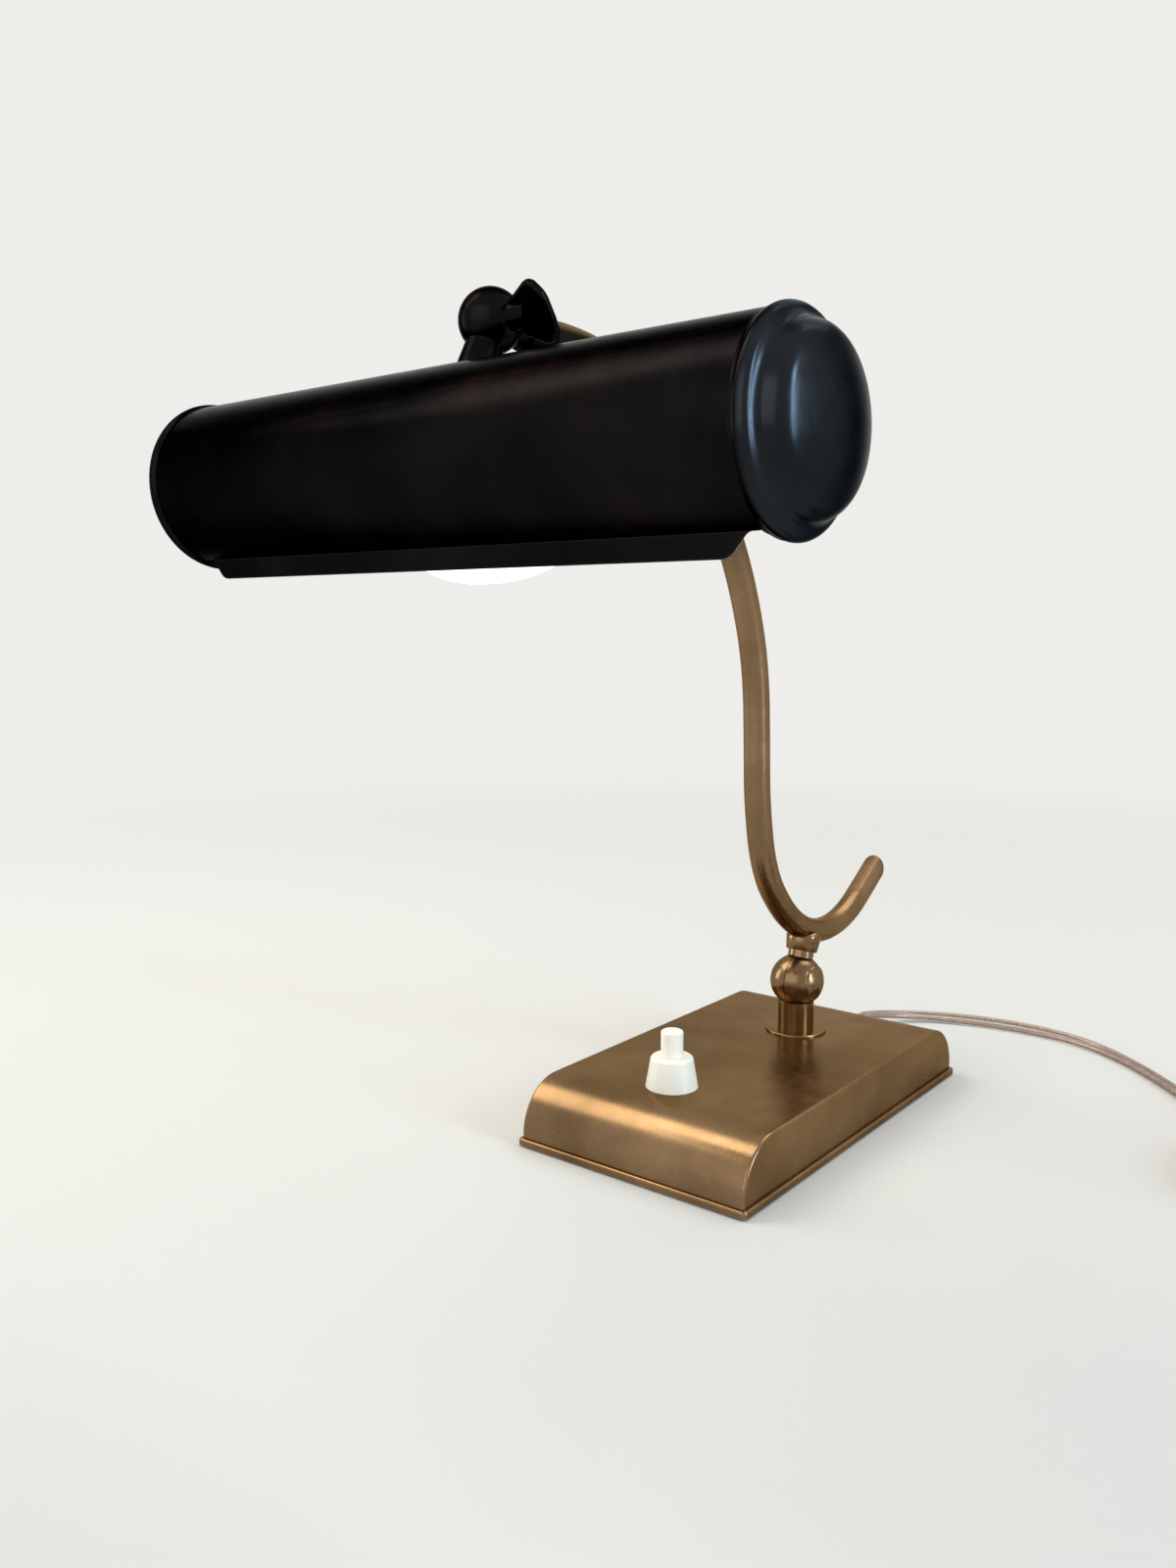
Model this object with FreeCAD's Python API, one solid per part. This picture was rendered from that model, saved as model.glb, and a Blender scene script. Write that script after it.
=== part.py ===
import FreeCAD, Part

import math
import os

from FreeCAD import Vector

# Brass desk lamp with a tubular shade on a swan-neck arm, two ball knuckles and a push switch.
# Millimetres. X runs along the shade, +Y points to the back, +Z up.
# The origin is the centre of the base's underside, on the table.

# Base cover: a pressed shell with rolled front and back edges and flat ends
BASE_LENGTH = 190.4
BASE_WIDTH = 108.0
BASE_TOP = 26.0
BASE_ROLL_RADIUS = 20.5
COVER_WALL = 1.0
END_EDGE_RADIUS = 1.1
LIP_PROUD = 1.5
LIP_HEIGHT = 2.8
LIP_CORNER_RADIUS = 2.0
LIP_ROUND = 1.0
COVER_LIFT = 0.6

# Underside: felt, plate, ballast
FELT_THICK = 1.8
PLATE_THICK = 1.2
PLATE_GAP = 0.4
PLATE_CORNER_RADIUS = 3.0
FELT_INSET = 1.0
BALLAST_SIDE_GAP = 9.5
BALLAST_FRONT_GAP = 19.7
BALLAST_BACK_GAP = 26.7
BALLAST_THICK = 16.0
BALLAST_CORNER_RADIUS = 7.0
PILLAR_RADIUS = 5.0
PILLAR_INSET = 8.0
PLATE_SCREW_RADIUS = 1.5
PLATE_SCREW_LENGTH = 9.0
SCREW_HEAD_RADIUS = 2.9
SCREW_HEAD_HEIGHT = 1.3
SCREW_SLOT_WIDTH = 0.8
SCREW_SLOT_DEPTH = 0.6

# Push switch near the front
SWITCH_X = -4.0
SWITCH_FROM_FRONT = 38.2
SWITCH_BODY_RADIUS = 11.5
SWITCH_BODY_LENGTH = 14.5
SWITCH_BODY_ROUND = 1.5
SWITCH_NECK_RADIUS = 5.0
SWITCH_NECK_RISE = 4.0
SWITCH_POCKET_GAP = 1.5
COLLAR_BASE_RADIUS = 10.7
COLLAR_TOP_RADIUS = 8.8
COLLAR_HEIGHT = 12.6
COLLAR_ROUND = 1.6
BUTTON_RADIUS = 4.55
BUTTON_RISE = 10.6
BUTTON_SINK = 4.4
BUTTON_ROUND = 1.0
BUTTON_GUIDE_RADIUS = 1.7
BUTTON_GUIDE_LENGTH = 18.0
BUTTON_TRAVEL = 3.5
SPRING_WIRE_RADIUS = 0.35
SPRING_MEAN_RADIUS = 2.55
SPRING_TURNS = 5
SPRING_SEAT = 18.0
SPRING_BORE_RADIUS = 3.3
SPRING_WIRE_SIDES = 6
TAB_WIDTH = 4.0
TAB_THICK = 0.8
TAB_LENGTH = 4.0
TAB_OFFSET = 5.0

# Stem and lower ball knuckle
STEM_FROM_BACK = 56.9
STEM_RADIUS = 8.1
STEM_WASHER_RADIUS = 13.85
STEM_WASHER_THICK = 1.0
STEM_WASHER_ROUND = 0.4
LOWER_BALL_RISE = 23.3
LOWER_BALL_RADIUS = 12.0
NIPPLE_RADIUS = 5.0
NIPPLE_BORE_RADIUS = 3.2
NIPPLE_IN_STEM = 7.0
NUT_FLAT_RADIUS = 7.0
NUT_HEIGHT = 3.6
SPRING_WASHER_THICK = 1.0
SPRING_WASHER_RADIUS = 8.5
NUT_POCKET_RADIUS = 11.0

# Knuckles
SEAM = 0.4
BALL_WALL = 2.2
BOSS_RADIUS = 5.2
KNUCKLE_SCREW_RADIUS = 2.0
KNUCKLE_HEAD_RADIUS = 3.6
KNUCKLE_HEAD_DEPTH = 2.4
KNUCKLE_SLOT_WIDTH = 0.9
KNUCKLE_SLOT_DEPTH = 0.9
FRICTION_WASHER_RADIUS = 4.8
FRICTION_WASHER_SINK = 0.5
WIRE_BORE_RADIUS = 2.6
LOWER_NECK_RADIUS = 5.8
LOWER_NECK_ANGLE = 73.0
LOWER_NECK_LENGTH = 23.5
FOOT_START = 13.6
FOOT_LENGTH = 6.6
FOOT_RADIUS = 7.1
FOOT_TOP_RADIUS = 7.9

# Arm: a round tube bent into a hook and a swan neck, its tip closed and cut at a slant.
# Each place is (y, z, heading in degrees from +Y towards +Z), from the hook's tip upwards,
# with y and z measured from the lower ball.
ARM_RADIUS = 5.65
ARM_WALL = 1.1
ARM_TIP_SLANT = 38.0
ARM_TIP_SHORT = 5.0
ARM_TIP_ROUND = 1.6
ARM_PLACES = [
    (83.3, 44.0, 212.0),
    (57.7, 28.0, 211.0),
    (26.5, 19.3, 180.0),
    (-15.5, 37.0, 136.4),
    (-29.6, 55.1, 116.0),
    (-37.9, 88.2, 97.0),
    (-39.2, 110.7, 92.5),
    (-42.3, 145.1, 101.0),
    (-53.1, 177.4, 114.5),
    (-158.3, 254.4, 174.0),
]
PLACES_BEFORE_BORE_COUNT = 1
PLACES_BEFORE_WIRE_COUNT = 2
ARM_WIRE_RADIUS = 1.8

# Upper ball knuckle and wing nut
UPPER_BALL_AHEAD = 203.6
UPPER_BALL_RISE = 255.1
UPPER_BALL_RADIUS = 10.2
UPPER_BACK_NECK_RADIUS = 5.4
UPPER_BACK_NECK_LENGTH = 19.0
HEAD_FERRULE_START = 14.6
HEAD_FERRULE_LENGTH = 11.5
HEAD_FERRULE_RADIUS = 6.7
HEAD_FERRULE_END_RADIUS = 6.2
SHADE_NECK_START_RADIUS = 5.0
SHADE_NECK_END_RADIUS = 7.5
SHADE_NECK_SINK = 2.0
WING_SEAT_DEPTH = 1.0
WING_HUB_RADIUS = 4.3
WING_HUB_TOP_RADIUS = 3.8
WING_HUB_LENGTH = 6.5
WING_START = 10.0
WING_START_HALF = 5.0
WING_TIP_REACH = 20.4
WING_TIP_HALF = 10.9
WING_TIP_RADIUS = 3.2
WING_END_REACH = 24.3
WING_END_HALF = 5.0
WING_END_RADIUS = 8.0
WING_THICK = 2.8
WING_ROUND = 1.1
WING_ANGLE = 126.0
KNUCKLE_SCREW_OUT = 15.0

# Shade: a tube open below and behind, with a hanging lip along its front edge
SHADE_AHEAD = 16.6
SHADE_DROP = 44.1
SHADE_RADIUS = 28.0
SHADE_WALL = 0.8
SHADE_HALF_LENGTH = 116.8
SHADE_REAR_ANGLE = 10.0
SHADE_FRONT_ANGLE = 249.0
SKIRT_DEPTH = 6.7
SKIRT_END_GAP = 13.5
SKIRT_END_ANGLE = 50.0
SKIRT_CORNER_RADIUS = 5.0
SKIRT_TOP_RADIUS = 3.0

# Domed end caps: a thick round bead laps over the tube's end, and a sleeve goes inside it
CAP_WALL = 0.8
CAP_SLEEVE_WALL = 0.6
CAP_SLEEVE_LENGTH = 5.0
BEAD_RADIUS = 2.8
BEAD_OUTER_RADIUS = 28.9
BEAD_BACK = 0.2
CAP_LAP = 2.7
CAP_LAP_WALL = 0.35
VALLEY_RADIUS = 0.9
DOME_RADIUS = 24.5
DOME_DEPTH = 10.6
DOME_SHOULDER_RADIUS = 7.0

# Inside the shade: neck nipple, washer, nut and lamp-holder bracket
SHADE_NIPPLE_RADIUS = 5.0
SHADE_NIPPLE_IN_NECK = 7.0
SHADE_NIPPLE_SPARE = 1.0
BRACKET_THICK = 1.2
BRACKET_WIDTH = 17.0
BRACKET_FRONT = 10.0
SHADE_NUT_HEIGHT = 3.0
SADDLE_RADIUS = 7.8
SADDLE_THICK = 1.0

# Lamp holder and lamp, lying along X
LAMP_BACK = 12.5
LAMP_DROP = 18.8
LAMP_CROWN_X = 1.0
BULB_RADIUS = 17.3
BULB_TIP_LENGTH = 37.0
BULB_NECK_LENGTH = 40.0
BULB_NECK_RADIUS = 6.9
BULB_COLLAR_LENGTH = 6.4
BULB_COLLAR_FLARE = 0.8
BULB_MIDDLE_LENGTH = 20.8
BULB_MIDDLE_RADIUS = 14.9
BULB_CAP_RADIUS = 6.7
BULB_CAP_LENGTH = 18.0
BULB_CONTACT_RADIUS = 2.4
BULB_CONTACT_LENGTH = 2.0
HOLDER_RADIUS = 11.4
HOLDER_WALL = 1.4
HOLDER_LENGTH = 34.0
HOLDER_RIM = 2.0
HOLDER_RIM_PROUD = 0.8
HOLDER_ROUND = 2.0
HOLDER_MOUTH_BEYOND_CAP = 2.0
HOLDER_NIPPLE_LENGTH = 14.0
HOLDER_NUT_HEIGHT = 3.0
HOLDER_NIPPLE_SPARE = 1.0
INSERT_LENGTH = 24.0
SHADE_LEAD_BESIDE_LEG = 5.0
SHADE_LEAD_PASS_RISE = 1.5
SHADE_LEAD_DROP = 7.0
SHADE_LEAD_SIDE = 3.0
SHADE_LEAD_LOOP = 16.0
SHADE_LEAD_TURN = 11.2

# Mains flex: the free part lies on the table and ends in a tied coil and a plug
CORD_RADIUS = 3.0
CORD_EXIT_X = -8.0
CORD_EXIT_Z = 8.5
BUSH_RADIUS = 4.4
BUSH_TIP_RADIUS = 3.7
BUSH_LENGTH = 22.0
BUSH_FLANGE_RADIUS = 5.4
BUSH_FLANGE_THICK = 2.0
BUSH_GROOVE_WIDTH = 1.6
BUSH_GROOVE_DEPTH = 0.5
BUSH_GROOVES = 3
COIL_X = 217.0
COIL_Y = 58.0
COIL_LIFT = 0.7
COIL_OUTER_RADIUS = 44.8
COIL_PITCH = 6.5
COIL_LAYER_TURNS = 3
CORD_LEAD = 6.0
TIE_THICK = 0.6
TIE_WIDTH = 7.0
TIE_GAP = 0.7
TIE_ANGLE = 300.0
CORD_TAIL_RUN = 12.0
PLUG_AXIS_Z = 6.85
CORD_ROUTE = [
    (-9.0, 133.5, 8.0),
    (1.5, 159.5, 4.4),
    (30.0, 171.8, 3.0),
    (62.0, 176.6, 3.0),
    (92.0, 174.0, 3.0),
    (118.5, 157.5, 3.0),
    (142.5, 133.5, 3.0),
    (165.0, 109.5, 3.3),
    (172.2, 86.5, 3.7),
]

# Plug: flat two-pin
PLUG_LENGTH = 35.3
PLUG_WIDTH = 26.2
PLUG_NECK_WIDTH = 15.0
PLUG_SHOULDER = 15.9
PLUG_CORNER = 5.0
PLUG_THICK = 13.7
PLUG_ROUND = 2.0
PIN_RADIUS = 2.0
PIN_LENGTH = 19.0
PIN_ROUND = 1.6
PIN_SPACING = 18.6
PIN_IN_PLUG = 6.0
PLUG_SLEEVE_LENGTH = 20.0
PLUG_SLEEVE_RADIUS = 5.2
PLUG_SLEEVE_TIP_RADIUS = 3.8

# Inside the base: terminal block, clamp and leads
TERMINAL_X = 26.0
TERMINAL_BACK_GAP = 13.7
TERMINAL_LENGTH = 24.0
TERMINAL_DEPTH = 12.0
TERMINAL_HEIGHT = 12.0
TERMINAL_HOLE_RADIUS = 2.4
TERMINAL_HOLE_SPACING = 12.0
TERMINAL_HOLE_DEPTH = 4.0
LEAD_RADIUS = 1.3
LEAD_Z = 6.2
STEM_LEAD_RADIUS = 1.7
STEM_LEAD_LANE = 15.5
SWITCH_LEAD_LANES = (19.0, 23.0)
SWITCH_LEAD_AHEAD = 11.0
SWITCH_LEAD_STAGGER = 4.0
SWITCH_LEAD_TURN = 9.0
SWITCH_LEAD_SIDE = 8.0
STEM_LEAD_TURN = 8.0
STEM_LEAD_SIDE = 9.5
STEM_LEAD_DIP = 0.4
CLAMP_X = 5.0
CLAMP_LENGTH = 6.0
CLAMP_WALL = 1.0
CLAMP_FOOT = 6.5
CLAMP_SCREW_RADIUS = 1.2
CLAMP_SCREW_HEAD_RADIUS = 2.2
CLAMP_SCREW_HEAD_HEIGHT = 1.2

# Clearances
BODY_GAP = 0.3
SHAFT_GAP = 0.06
SLIDE_GAP = 0.08
FIT_GAP = 0.02

X_AXIS = Vector(1, 0, 0)
Y_AXIS = Vector(0, 1, 0)
Z_AXIS = Vector(0, 0, 1)
FAR = 400.0

# Places that follow from the sizes above
COVER_HALF_X = BASE_WIDTH / 2 - LIP_PROUD
COVER_HALF_Y = BASE_LENGTH / 2 - LIP_PROUD
INNER_HALF_X = COVER_HALF_X - COVER_WALL
INNER_HALF_Y = COVER_HALF_Y - COVER_WALL
COVER_UNDERSIDE = BASE_TOP - COVER_WALL
BALLAST_HALF_WIDTH = INNER_HALF_X - BALLAST_SIDE_GAP
BALLAST_FRONT = -INNER_HALF_Y + BALLAST_FRONT_GAP
BALLAST_BACK = INNER_HALF_Y - BALLAST_BACK_GAP
TERMINAL_Y = INNER_HALF_Y - TERMINAL_BACK_GAP
SWITCH_Y = -BASE_LENGTH / 2 + SWITCH_FROM_FRONT
STEM_Y = BASE_LENGTH / 2 - STEM_FROM_BACK
PLATE_TOP = FELT_THICK + PLATE_THICK
BALLAST_BOTTOM = COVER_UNDERSIDE - BALLAST_THICK
STEM_BOTTOM = BASE_TOP + STEM_WASHER_THICK
LOWER_BALL_Z = BASE_TOP + LOWER_BALL_RISE
LOWER_BALL = Vector(0, STEM_Y, LOWER_BALL_Z)
UPPER_BALL = LOWER_BALL + Vector(0, -UPPER_BALL_AHEAD, UPPER_BALL_RISE)
SHADE_CENTRE = UPPER_BALL - Vector(0, SHADE_AHEAD, SHADE_DROP)
SHADE_Y, SHADE_Z = SHADE_CENTRE.y, SHADE_CENTRE.z
LAMP_Y, LAMP_Z = SHADE_Y + LAMP_BACK, SHADE_Z - LAMP_DROP
NECK_TO_SHADE = (SHADE_CENTRE - UPPER_BALL).Length
SHADE_NECK_ANGLE = math.degrees(math.atan2(-SHADE_DROP, -SHADE_AHEAD))
SHADE_INNER = SHADE_RADIUS - SHADE_WALL
BRACKET_INNER = SHADE_INNER - BRACKET_THICK
BULB_BASE_X = LAMP_CROWN_X - BULB_NECK_LENGTH
HOLDER_MOUTH_X = BULB_BASE_X + HOLDER_MOUTH_BEYOND_CAP
HOLDER_BACK_X = HOLDER_MOUTH_X - HOLDER_LENGTH
BRACKET_BACK = HOLDER_BACK_X - BRACKET_THICK
COIL_Z = CORD_RADIUS + COIL_LIFT
SWITCH_NECK_TOP = BASE_TOP + SWITCH_NECK_RISE
COLLAR_TOP = BASE_TOP + COLLAR_HEIGHT
BUTTON_BOTTOM = COLLAR_TOP - BUTTON_SINK


def in_yz(angle):
    """The unit vector in the YZ plane at an angle in degrees from +Y towards +Z."""
    turn = math.radians(angle)
    return Vector(0, math.cos(turn), math.sin(turn))


def box(x0, x1, y0, y1, z0, z1):
    return Part.makeBox(x1 - x0, y1 - y0, z1 - z0, Vector(x0, y0, z0))


def rod(radius, start, along, length):
    return Part.makeCylinder(radius, length, start, along)


def cone(radius, end_radius, start, along, length):
    if abs(radius - end_radius) < 1e-6:
        return rod(radius, start, along, length)
    return Part.makeCone(radius, end_radius, length, start, along)


def ring(radius, bore, start, along, length):
    return rod(radius, start, along, length).cut(rod(bore, start - along, along, length + 2))


def line(a, b):
    return Part.LineSegment(a, b).toShape()


def arc(a, middle, b):
    return Part.Arc(a, middle, b).toShape()


def prism(edges, along):
    return Part.Face(Part.Wire(edges)).extrude(along)


def revolved(edges, centre, axis):
    return Part.Face(Part.Wire(edges)).revolve(centre, axis, 360)


def chain(points):
    """Edges through points: a plain point is the end of a line, a pair is an arc's middle and end."""
    edges, last = [], points[0]
    for item in points[1:]:
        if isinstance(item, tuple):
            edges.append(arc(last, item[0], item[1]))
            last = item[1]
        else:
            edges.append(line(last, item))
            last = item
    return edges


def turned(outline, centre, along, out):
    """A solid of revolution through (distance along, radius) places, with (mid, end) for an arc."""
    places = []
    for item in outline:
        spots = [centre + along * item[k] + out * item[k + 1] for k in range(0, len(item), 2)]
        places.append(tuple(spots) if len(spots) == 2 else spots[0])
    edges = chain(places)
    edges.append(line(edges[-1].lastVertex().Point, edges[0].firstVertex().Point))
    return revolved(edges, centre, along)


def corner_arc(before, corner, after, radius):
    """Where a fillet of this radius starts, its middle and where it ends, at a corner of a path."""
    back = (before - corner).normalize()
    ahead = (after - corner).normalize()
    half_turn = (math.pi - back.getAngle(ahead)) / 2
    reach = radius * math.tan(half_turn)
    middle_way = (back + ahead).normalize()
    middle = corner + middle_way * (radius / math.cos(half_turn) - radius)
    return corner + back * reach, middle, corner + ahead * reach


def rounded_outline(corners):
    """A closed wire round (point, radius) corners."""
    edges, count = [], len(corners)
    arcs = []
    for i, (corner, radius) in enumerate(corners):
        arcs.append(corner_arc(corners[i - 1][0], corner, corners[(i + 1) % count][0], radius))
    for i, (start, middle, end) in enumerate(arcs):
        edges.append(arc(start, middle, end))
        following = arcs[(i + 1) % count][0]
        if (following - end).Length > 1e-6:
            edges.append(line(end, following))
    return Part.Wire(edges)


def rounded_box(half_x, y0, y1, z0, z1, radius):
    corners = [
        (Vector(-half_x, y0, z0), radius),
        (Vector(half_x, y0, z0), radius),
        (Vector(half_x, y1, z0), radius),
        (Vector(-half_x, y1, z0), radius),
    ]
    return Part.Face(rounded_outline(corners)).extrude(Z_AXIS * (z1 - z0))


def tangent_arc(start, corner, end):
    """The arc from start to end whose tangents meet at corner, both equally far away."""
    middle = (start + end) * 0.5
    to_corner = corner - middle
    half_chord = (end - start).Length / 2
    if to_corner.Length < 1e-7:
        return line(start, end)
    bend = math.atan(to_corner.Length / half_chord)
    rise = half_chord * math.tan(bend / 2)
    return arc(start, middle + to_corner.normalize() * rise, end)


def two_arcs(p0, t0, p1, t1):
    """Two arcs from p0 to p1 that leave along t0 and arrive along t1."""
    across = p1 - p0
    both = t0 + t1
    a = 2 * (t0.dot(t1) - 1)
    b = -2 * across.dot(both)
    c = across.dot(across)
    if abs(a) < 1e-9:
        reach = -c / b
    else:
        reach = (-b - math.sqrt(b * b - 4 * a * c)) / (2 * a)
    first, second = p0 + t0 * reach, p1 - t1 * reach
    joint = (first + second) * 0.5
    return [tangent_arc(p0, first, joint), tangent_arc(joint, second, p1)]


def route_edges(points):
    """Straight runs joined by tangent arcs, each as large as its two runs allow, and the radii."""
    edges, radii, last = [], [], points[0]
    for before, corner, after in zip(points, points[1:], points[2:]):
        shorter = min((corner - before).Length, (after - corner).Length)
        half_turn = (math.pi - (before - corner).getAngle(after - corner)) / 2
        radius = 0.45 * shorter / math.tan(half_turn)
        start, middle, end = corner_arc(before, corner, after, radius)
        edges += [line(last, start), arc(start, middle, end)]
        radii.append(radius)
        last = end
    edges.append(line(last, points[-1]))
    return edges, radii


def swept(edges, profile):
    shell = Part.BRepOffsetAPI.MakePipeShell(Part.Wire(edges))
    shell.add(profile)
    shell.build()
    shell.makeSolid()
    return shell.shape()


def circle_wire(centre, normal, radius):
    return Part.Wire([Part.makeCircle(radius, centre, normal)])


def polygon_wire(centre, normal, up, radius, sides):
    side_way = normal.cross(up)
    points = []
    for k in range(sides):
        turn = 2 * math.pi * k / sides
        points.append(centre + up * (radius * math.cos(turn)) + side_way * (radius * math.sin(turn)))
    return Part.makePolygon(points + points[:1])


def flex(points, radius, name):
    """A plain round flex along a route. It prints its bend radii and how its volume agrees."""
    edges, radii = route_edges(points)
    first_way = (points[1] - points[0]).normalize()
    solid = swept(edges, circle_wire(points[0], first_way, radius))
    length = sum(e.Length for e in edges)
    share = solid.Volume / (math.pi * radius ** 2 * length)
    shown = ", ".join("%.1f" % r for r in radii)
    print("%s: length %.1f, bend radii %s" % (name, length, shown))
    print("%s: volume over section times length %.4f" % (name, share))
    return solid, length


def hexagon(flat_radius, start, along, up, length, bore):
    profile = Part.Face(polygon_wire(start, along, up, flat_radius / math.cos(math.pi / 6), 6))
    return profile.extrude(along * length).cut(rod(bore, start - along, along, length + 2))


def slotted_screw(tip, along, shank_radius, shank_length, head_radius, head_height):
    """A screw whose head lies beyond the shank's end, along the way from tip to head."""
    slot, slot_width, slot_depth = X_AXIS, SCREW_SLOT_WIDTH, SCREW_SLOT_DEPTH
    shank = rod(shank_radius, tip, along, shank_length + head_height / 2)
    seat = tip + along * shank_length
    head = rod(head_radius, seat, along, head_height)
    side_way = along.cross(slot)
    corner = seat + along * (head_height - slot_depth)
    corner -= slot * (head_radius + 1) + side_way * (slot_width / 2)
    edges = chain([
        corner,
        corner + slot * (2 * head_radius + 2),
        corner + slot * (2 * head_radius + 2) + side_way * slot_width,
        corner + side_way * slot_width,
        corner,
    ])
    return shank.fuse(head).removeSplitter().cut(prism(edges, along * (slot_depth + 1)))


# Base


def cover_section(half, top, radius, bottom, x):
    """The rolled outline across the base, as a face in the YZ plane at x."""
    mid = radius * (1 - math.sqrt(0.5))
    edges = chain([
        Vector(x, -half, bottom),
        Vector(x, -half, top - radius),
        (Vector(x, -half + mid, top - mid), Vector(x, -half + radius, top)),
        Vector(x, half - radius, top),
        (Vector(x, half - mid, top - mid), Vector(x, half, top - radius)),
        Vector(x, half, bottom),
        Vector(x, -half, bottom),
    ])
    return Part.Face(Part.Wire(edges))


def cover_inside():
    """The space under the cover."""
    radius = BASE_ROLL_RADIUS - COVER_WALL
    face = cover_section(INNER_HALF_Y, COVER_UNDERSIDE, radius, -1.0, -INNER_HALF_X)
    return face.extrude(X_AXIS * (2 * INNER_HALF_X))


def make_base_cover():
    face = cover_section(COVER_HALF_Y, BASE_TOP, BASE_ROLL_RADIUS, COVER_LIFT, -COVER_HALF_X)
    outside = face.extrude(X_AXIS * (2 * COVER_HALF_X))
    end_edges = []
    for edge in outside.Edges:
        low, high = edge.BoundBox.XMin, edge.BoundBox.XMax
        at_end = abs(high - low) < 1e-6 and edge.BoundBox.ZMax > COVER_LIFT + 1e-6
        if at_end:
            end_edges.append(edge)
    outside = outside.makeFillet(END_EDGE_RADIUS, end_edges)
    lip_top = COVER_LIFT + LIP_HEIGHT
    half_length = BASE_LENGTH / 2
    lip = rounded_box(BASE_WIDTH / 2, -half_length, half_length, COVER_LIFT, lip_top, LIP_CORNER_RADIUS)
    top_edges = [e for e in lip.Edges if e.BoundBox.ZMin > lip_top - 1e-6]
    lip = lip.makeFillet(LIP_ROUND, top_edges)
    shell = outside.fuse(lip).cut(cover_inside())
    switch_hole = rod(SWITCH_NECK_RADIUS + FIT_GAP, Vector(SWITCH_X, SWITCH_Y, 0), Z_AXIS, FAR)
    stem_hole = rod(NIPPLE_RADIUS + BODY_GAP, Vector(0, STEM_Y, 0), Z_AXIS, FAR)
    cord_hole = rod(BUSH_RADIUS + FIT_GAP, Vector(CORD_EXIT_X, 0, CORD_EXIT_Z), Y_AXIS, FAR)
    return shell.cut(switch_hole.fuse(stem_hole).fuse(cord_hole))


def plate_screw_places():
    xs = [-BALLAST_HALF_WIDTH + PILLAR_INSET, BALLAST_HALF_WIDTH - PILLAR_INSET]
    ys = [BALLAST_FRONT + PILLAR_INSET, BALLAST_BACK - PILLAR_INSET]
    return [Vector(x, y, 0) for x in xs for y in ys]


def make_base_felt():
    half_x = INNER_HALF_X - FELT_INSET
    half_y = INNER_HALF_Y - FELT_INSET
    felt = rounded_box(half_x, -half_y, half_y, 0, FELT_THICK, PLATE_CORNER_RADIUS)
    for place in plate_screw_places():
        felt = felt.cut(rod(SCREW_HEAD_RADIUS + BODY_GAP, place, Z_AXIS, FELT_THICK))
    return felt


def make_base_plate():
    half_x = INNER_HALF_X - PLATE_GAP
    half_y = INNER_HALF_Y - PLATE_GAP
    plate = rounded_box(half_x, -half_y, half_y, FELT_THICK, PLATE_TOP, PLATE_CORNER_RADIUS)
    for place in plate_screw_places():
        plate = plate.cut(rod(PLATE_SCREW_RADIUS + FIT_GAP, place, Z_AXIS, PLATE_TOP + 1))
    for place in clamp_screw_places():
        plate = plate.cut(rod(CLAMP_SCREW_RADIUS + FIT_GAP, place, Z_AXIS, PLATE_TOP + 1))
    return plate


def make_base_ballast():
    block = rounded_box(
        BALLAST_HALF_WIDTH, BALLAST_FRONT, BALLAST_BACK, BALLAST_BOTTOM, COVER_UNDERSIDE,
        BALLAST_CORNER_RADIUS,
    )
    for place in plate_screw_places():
        pillar = rod(PILLAR_RADIUS, place + Z_AXIS * PLATE_TOP, Z_AXIS, BALLAST_BOTTOM - PLATE_TOP + 1)
        hole = rod(PLATE_SCREW_RADIUS + FIT_GAP, place, Z_AXIS, PLATE_TOP + PLATE_SCREW_LENGTH + 1)
        block = block.fuse(pillar).cut(hole)
    switch_pocket = rod(SWITCH_BODY_RADIUS + SWITCH_POCKET_GAP, Vector(SWITCH_X, SWITCH_Y, 0), Z_AXIS, FAR)
    stem_hole = rod(NIPPLE_RADIUS + BODY_GAP, Vector(0, STEM_Y, 0), Z_AXIS, FAR)
    nut_pocket = rod(NUT_POCKET_RADIUS, Vector(0, STEM_Y, 0), Z_AXIS, nut_seat())
    return block.cut(switch_pocket).cut(stem_hole).cut(nut_pocket).removeSplitter()


def make_base_plate_screws():
    screws = []
    for place in plate_screw_places():
        tip = place + Z_AXIS * (FELT_THICK + PLATE_SCREW_LENGTH)
        screws.append(slotted_screw(
            tip, -Z_AXIS, PLATE_SCREW_RADIUS, PLATE_SCREW_LENGTH, SCREW_HEAD_RADIUS, SCREW_HEAD_HEIGHT
        ))
    return Part.makeCompound(screws)


# Switch


def make_switch_body():
    bottom = COVER_UNDERSIDE - SWITCH_BODY_LENGTH
    foot = Vector(SWITCH_X, SWITCH_Y, bottom)
    body = rod(SWITCH_BODY_RADIUS, foot, Z_AXIS, SWITCH_BODY_LENGTH)
    body = body.makeFillet(SWITCH_BODY_ROUND, [e for e in body.Edges if e.BoundBox.ZMax < bottom + 1e-6])
    neck = rod(SWITCH_NECK_RADIUS, foot, Z_AXIS, SWITCH_NECK_TOP - bottom)
    spring_bore = rod(SPRING_BORE_RADIUS, Vector(SWITCH_X, SWITCH_Y, SPRING_SEAT), Z_AXIS, FAR)
    guide_end = BUTTON_BOTTOM - BUTTON_GUIDE_LENGTH - BUTTON_TRAVEL - 1.0
    guide_bore = rod(BUTTON_GUIDE_RADIUS + SLIDE_GAP, Vector(SWITCH_X, SWITCH_Y, guide_end), Z_AXIS, FAR)
    return body.fuse(neck).cut(spring_bore).cut(guide_bore).removeSplitter()


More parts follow.
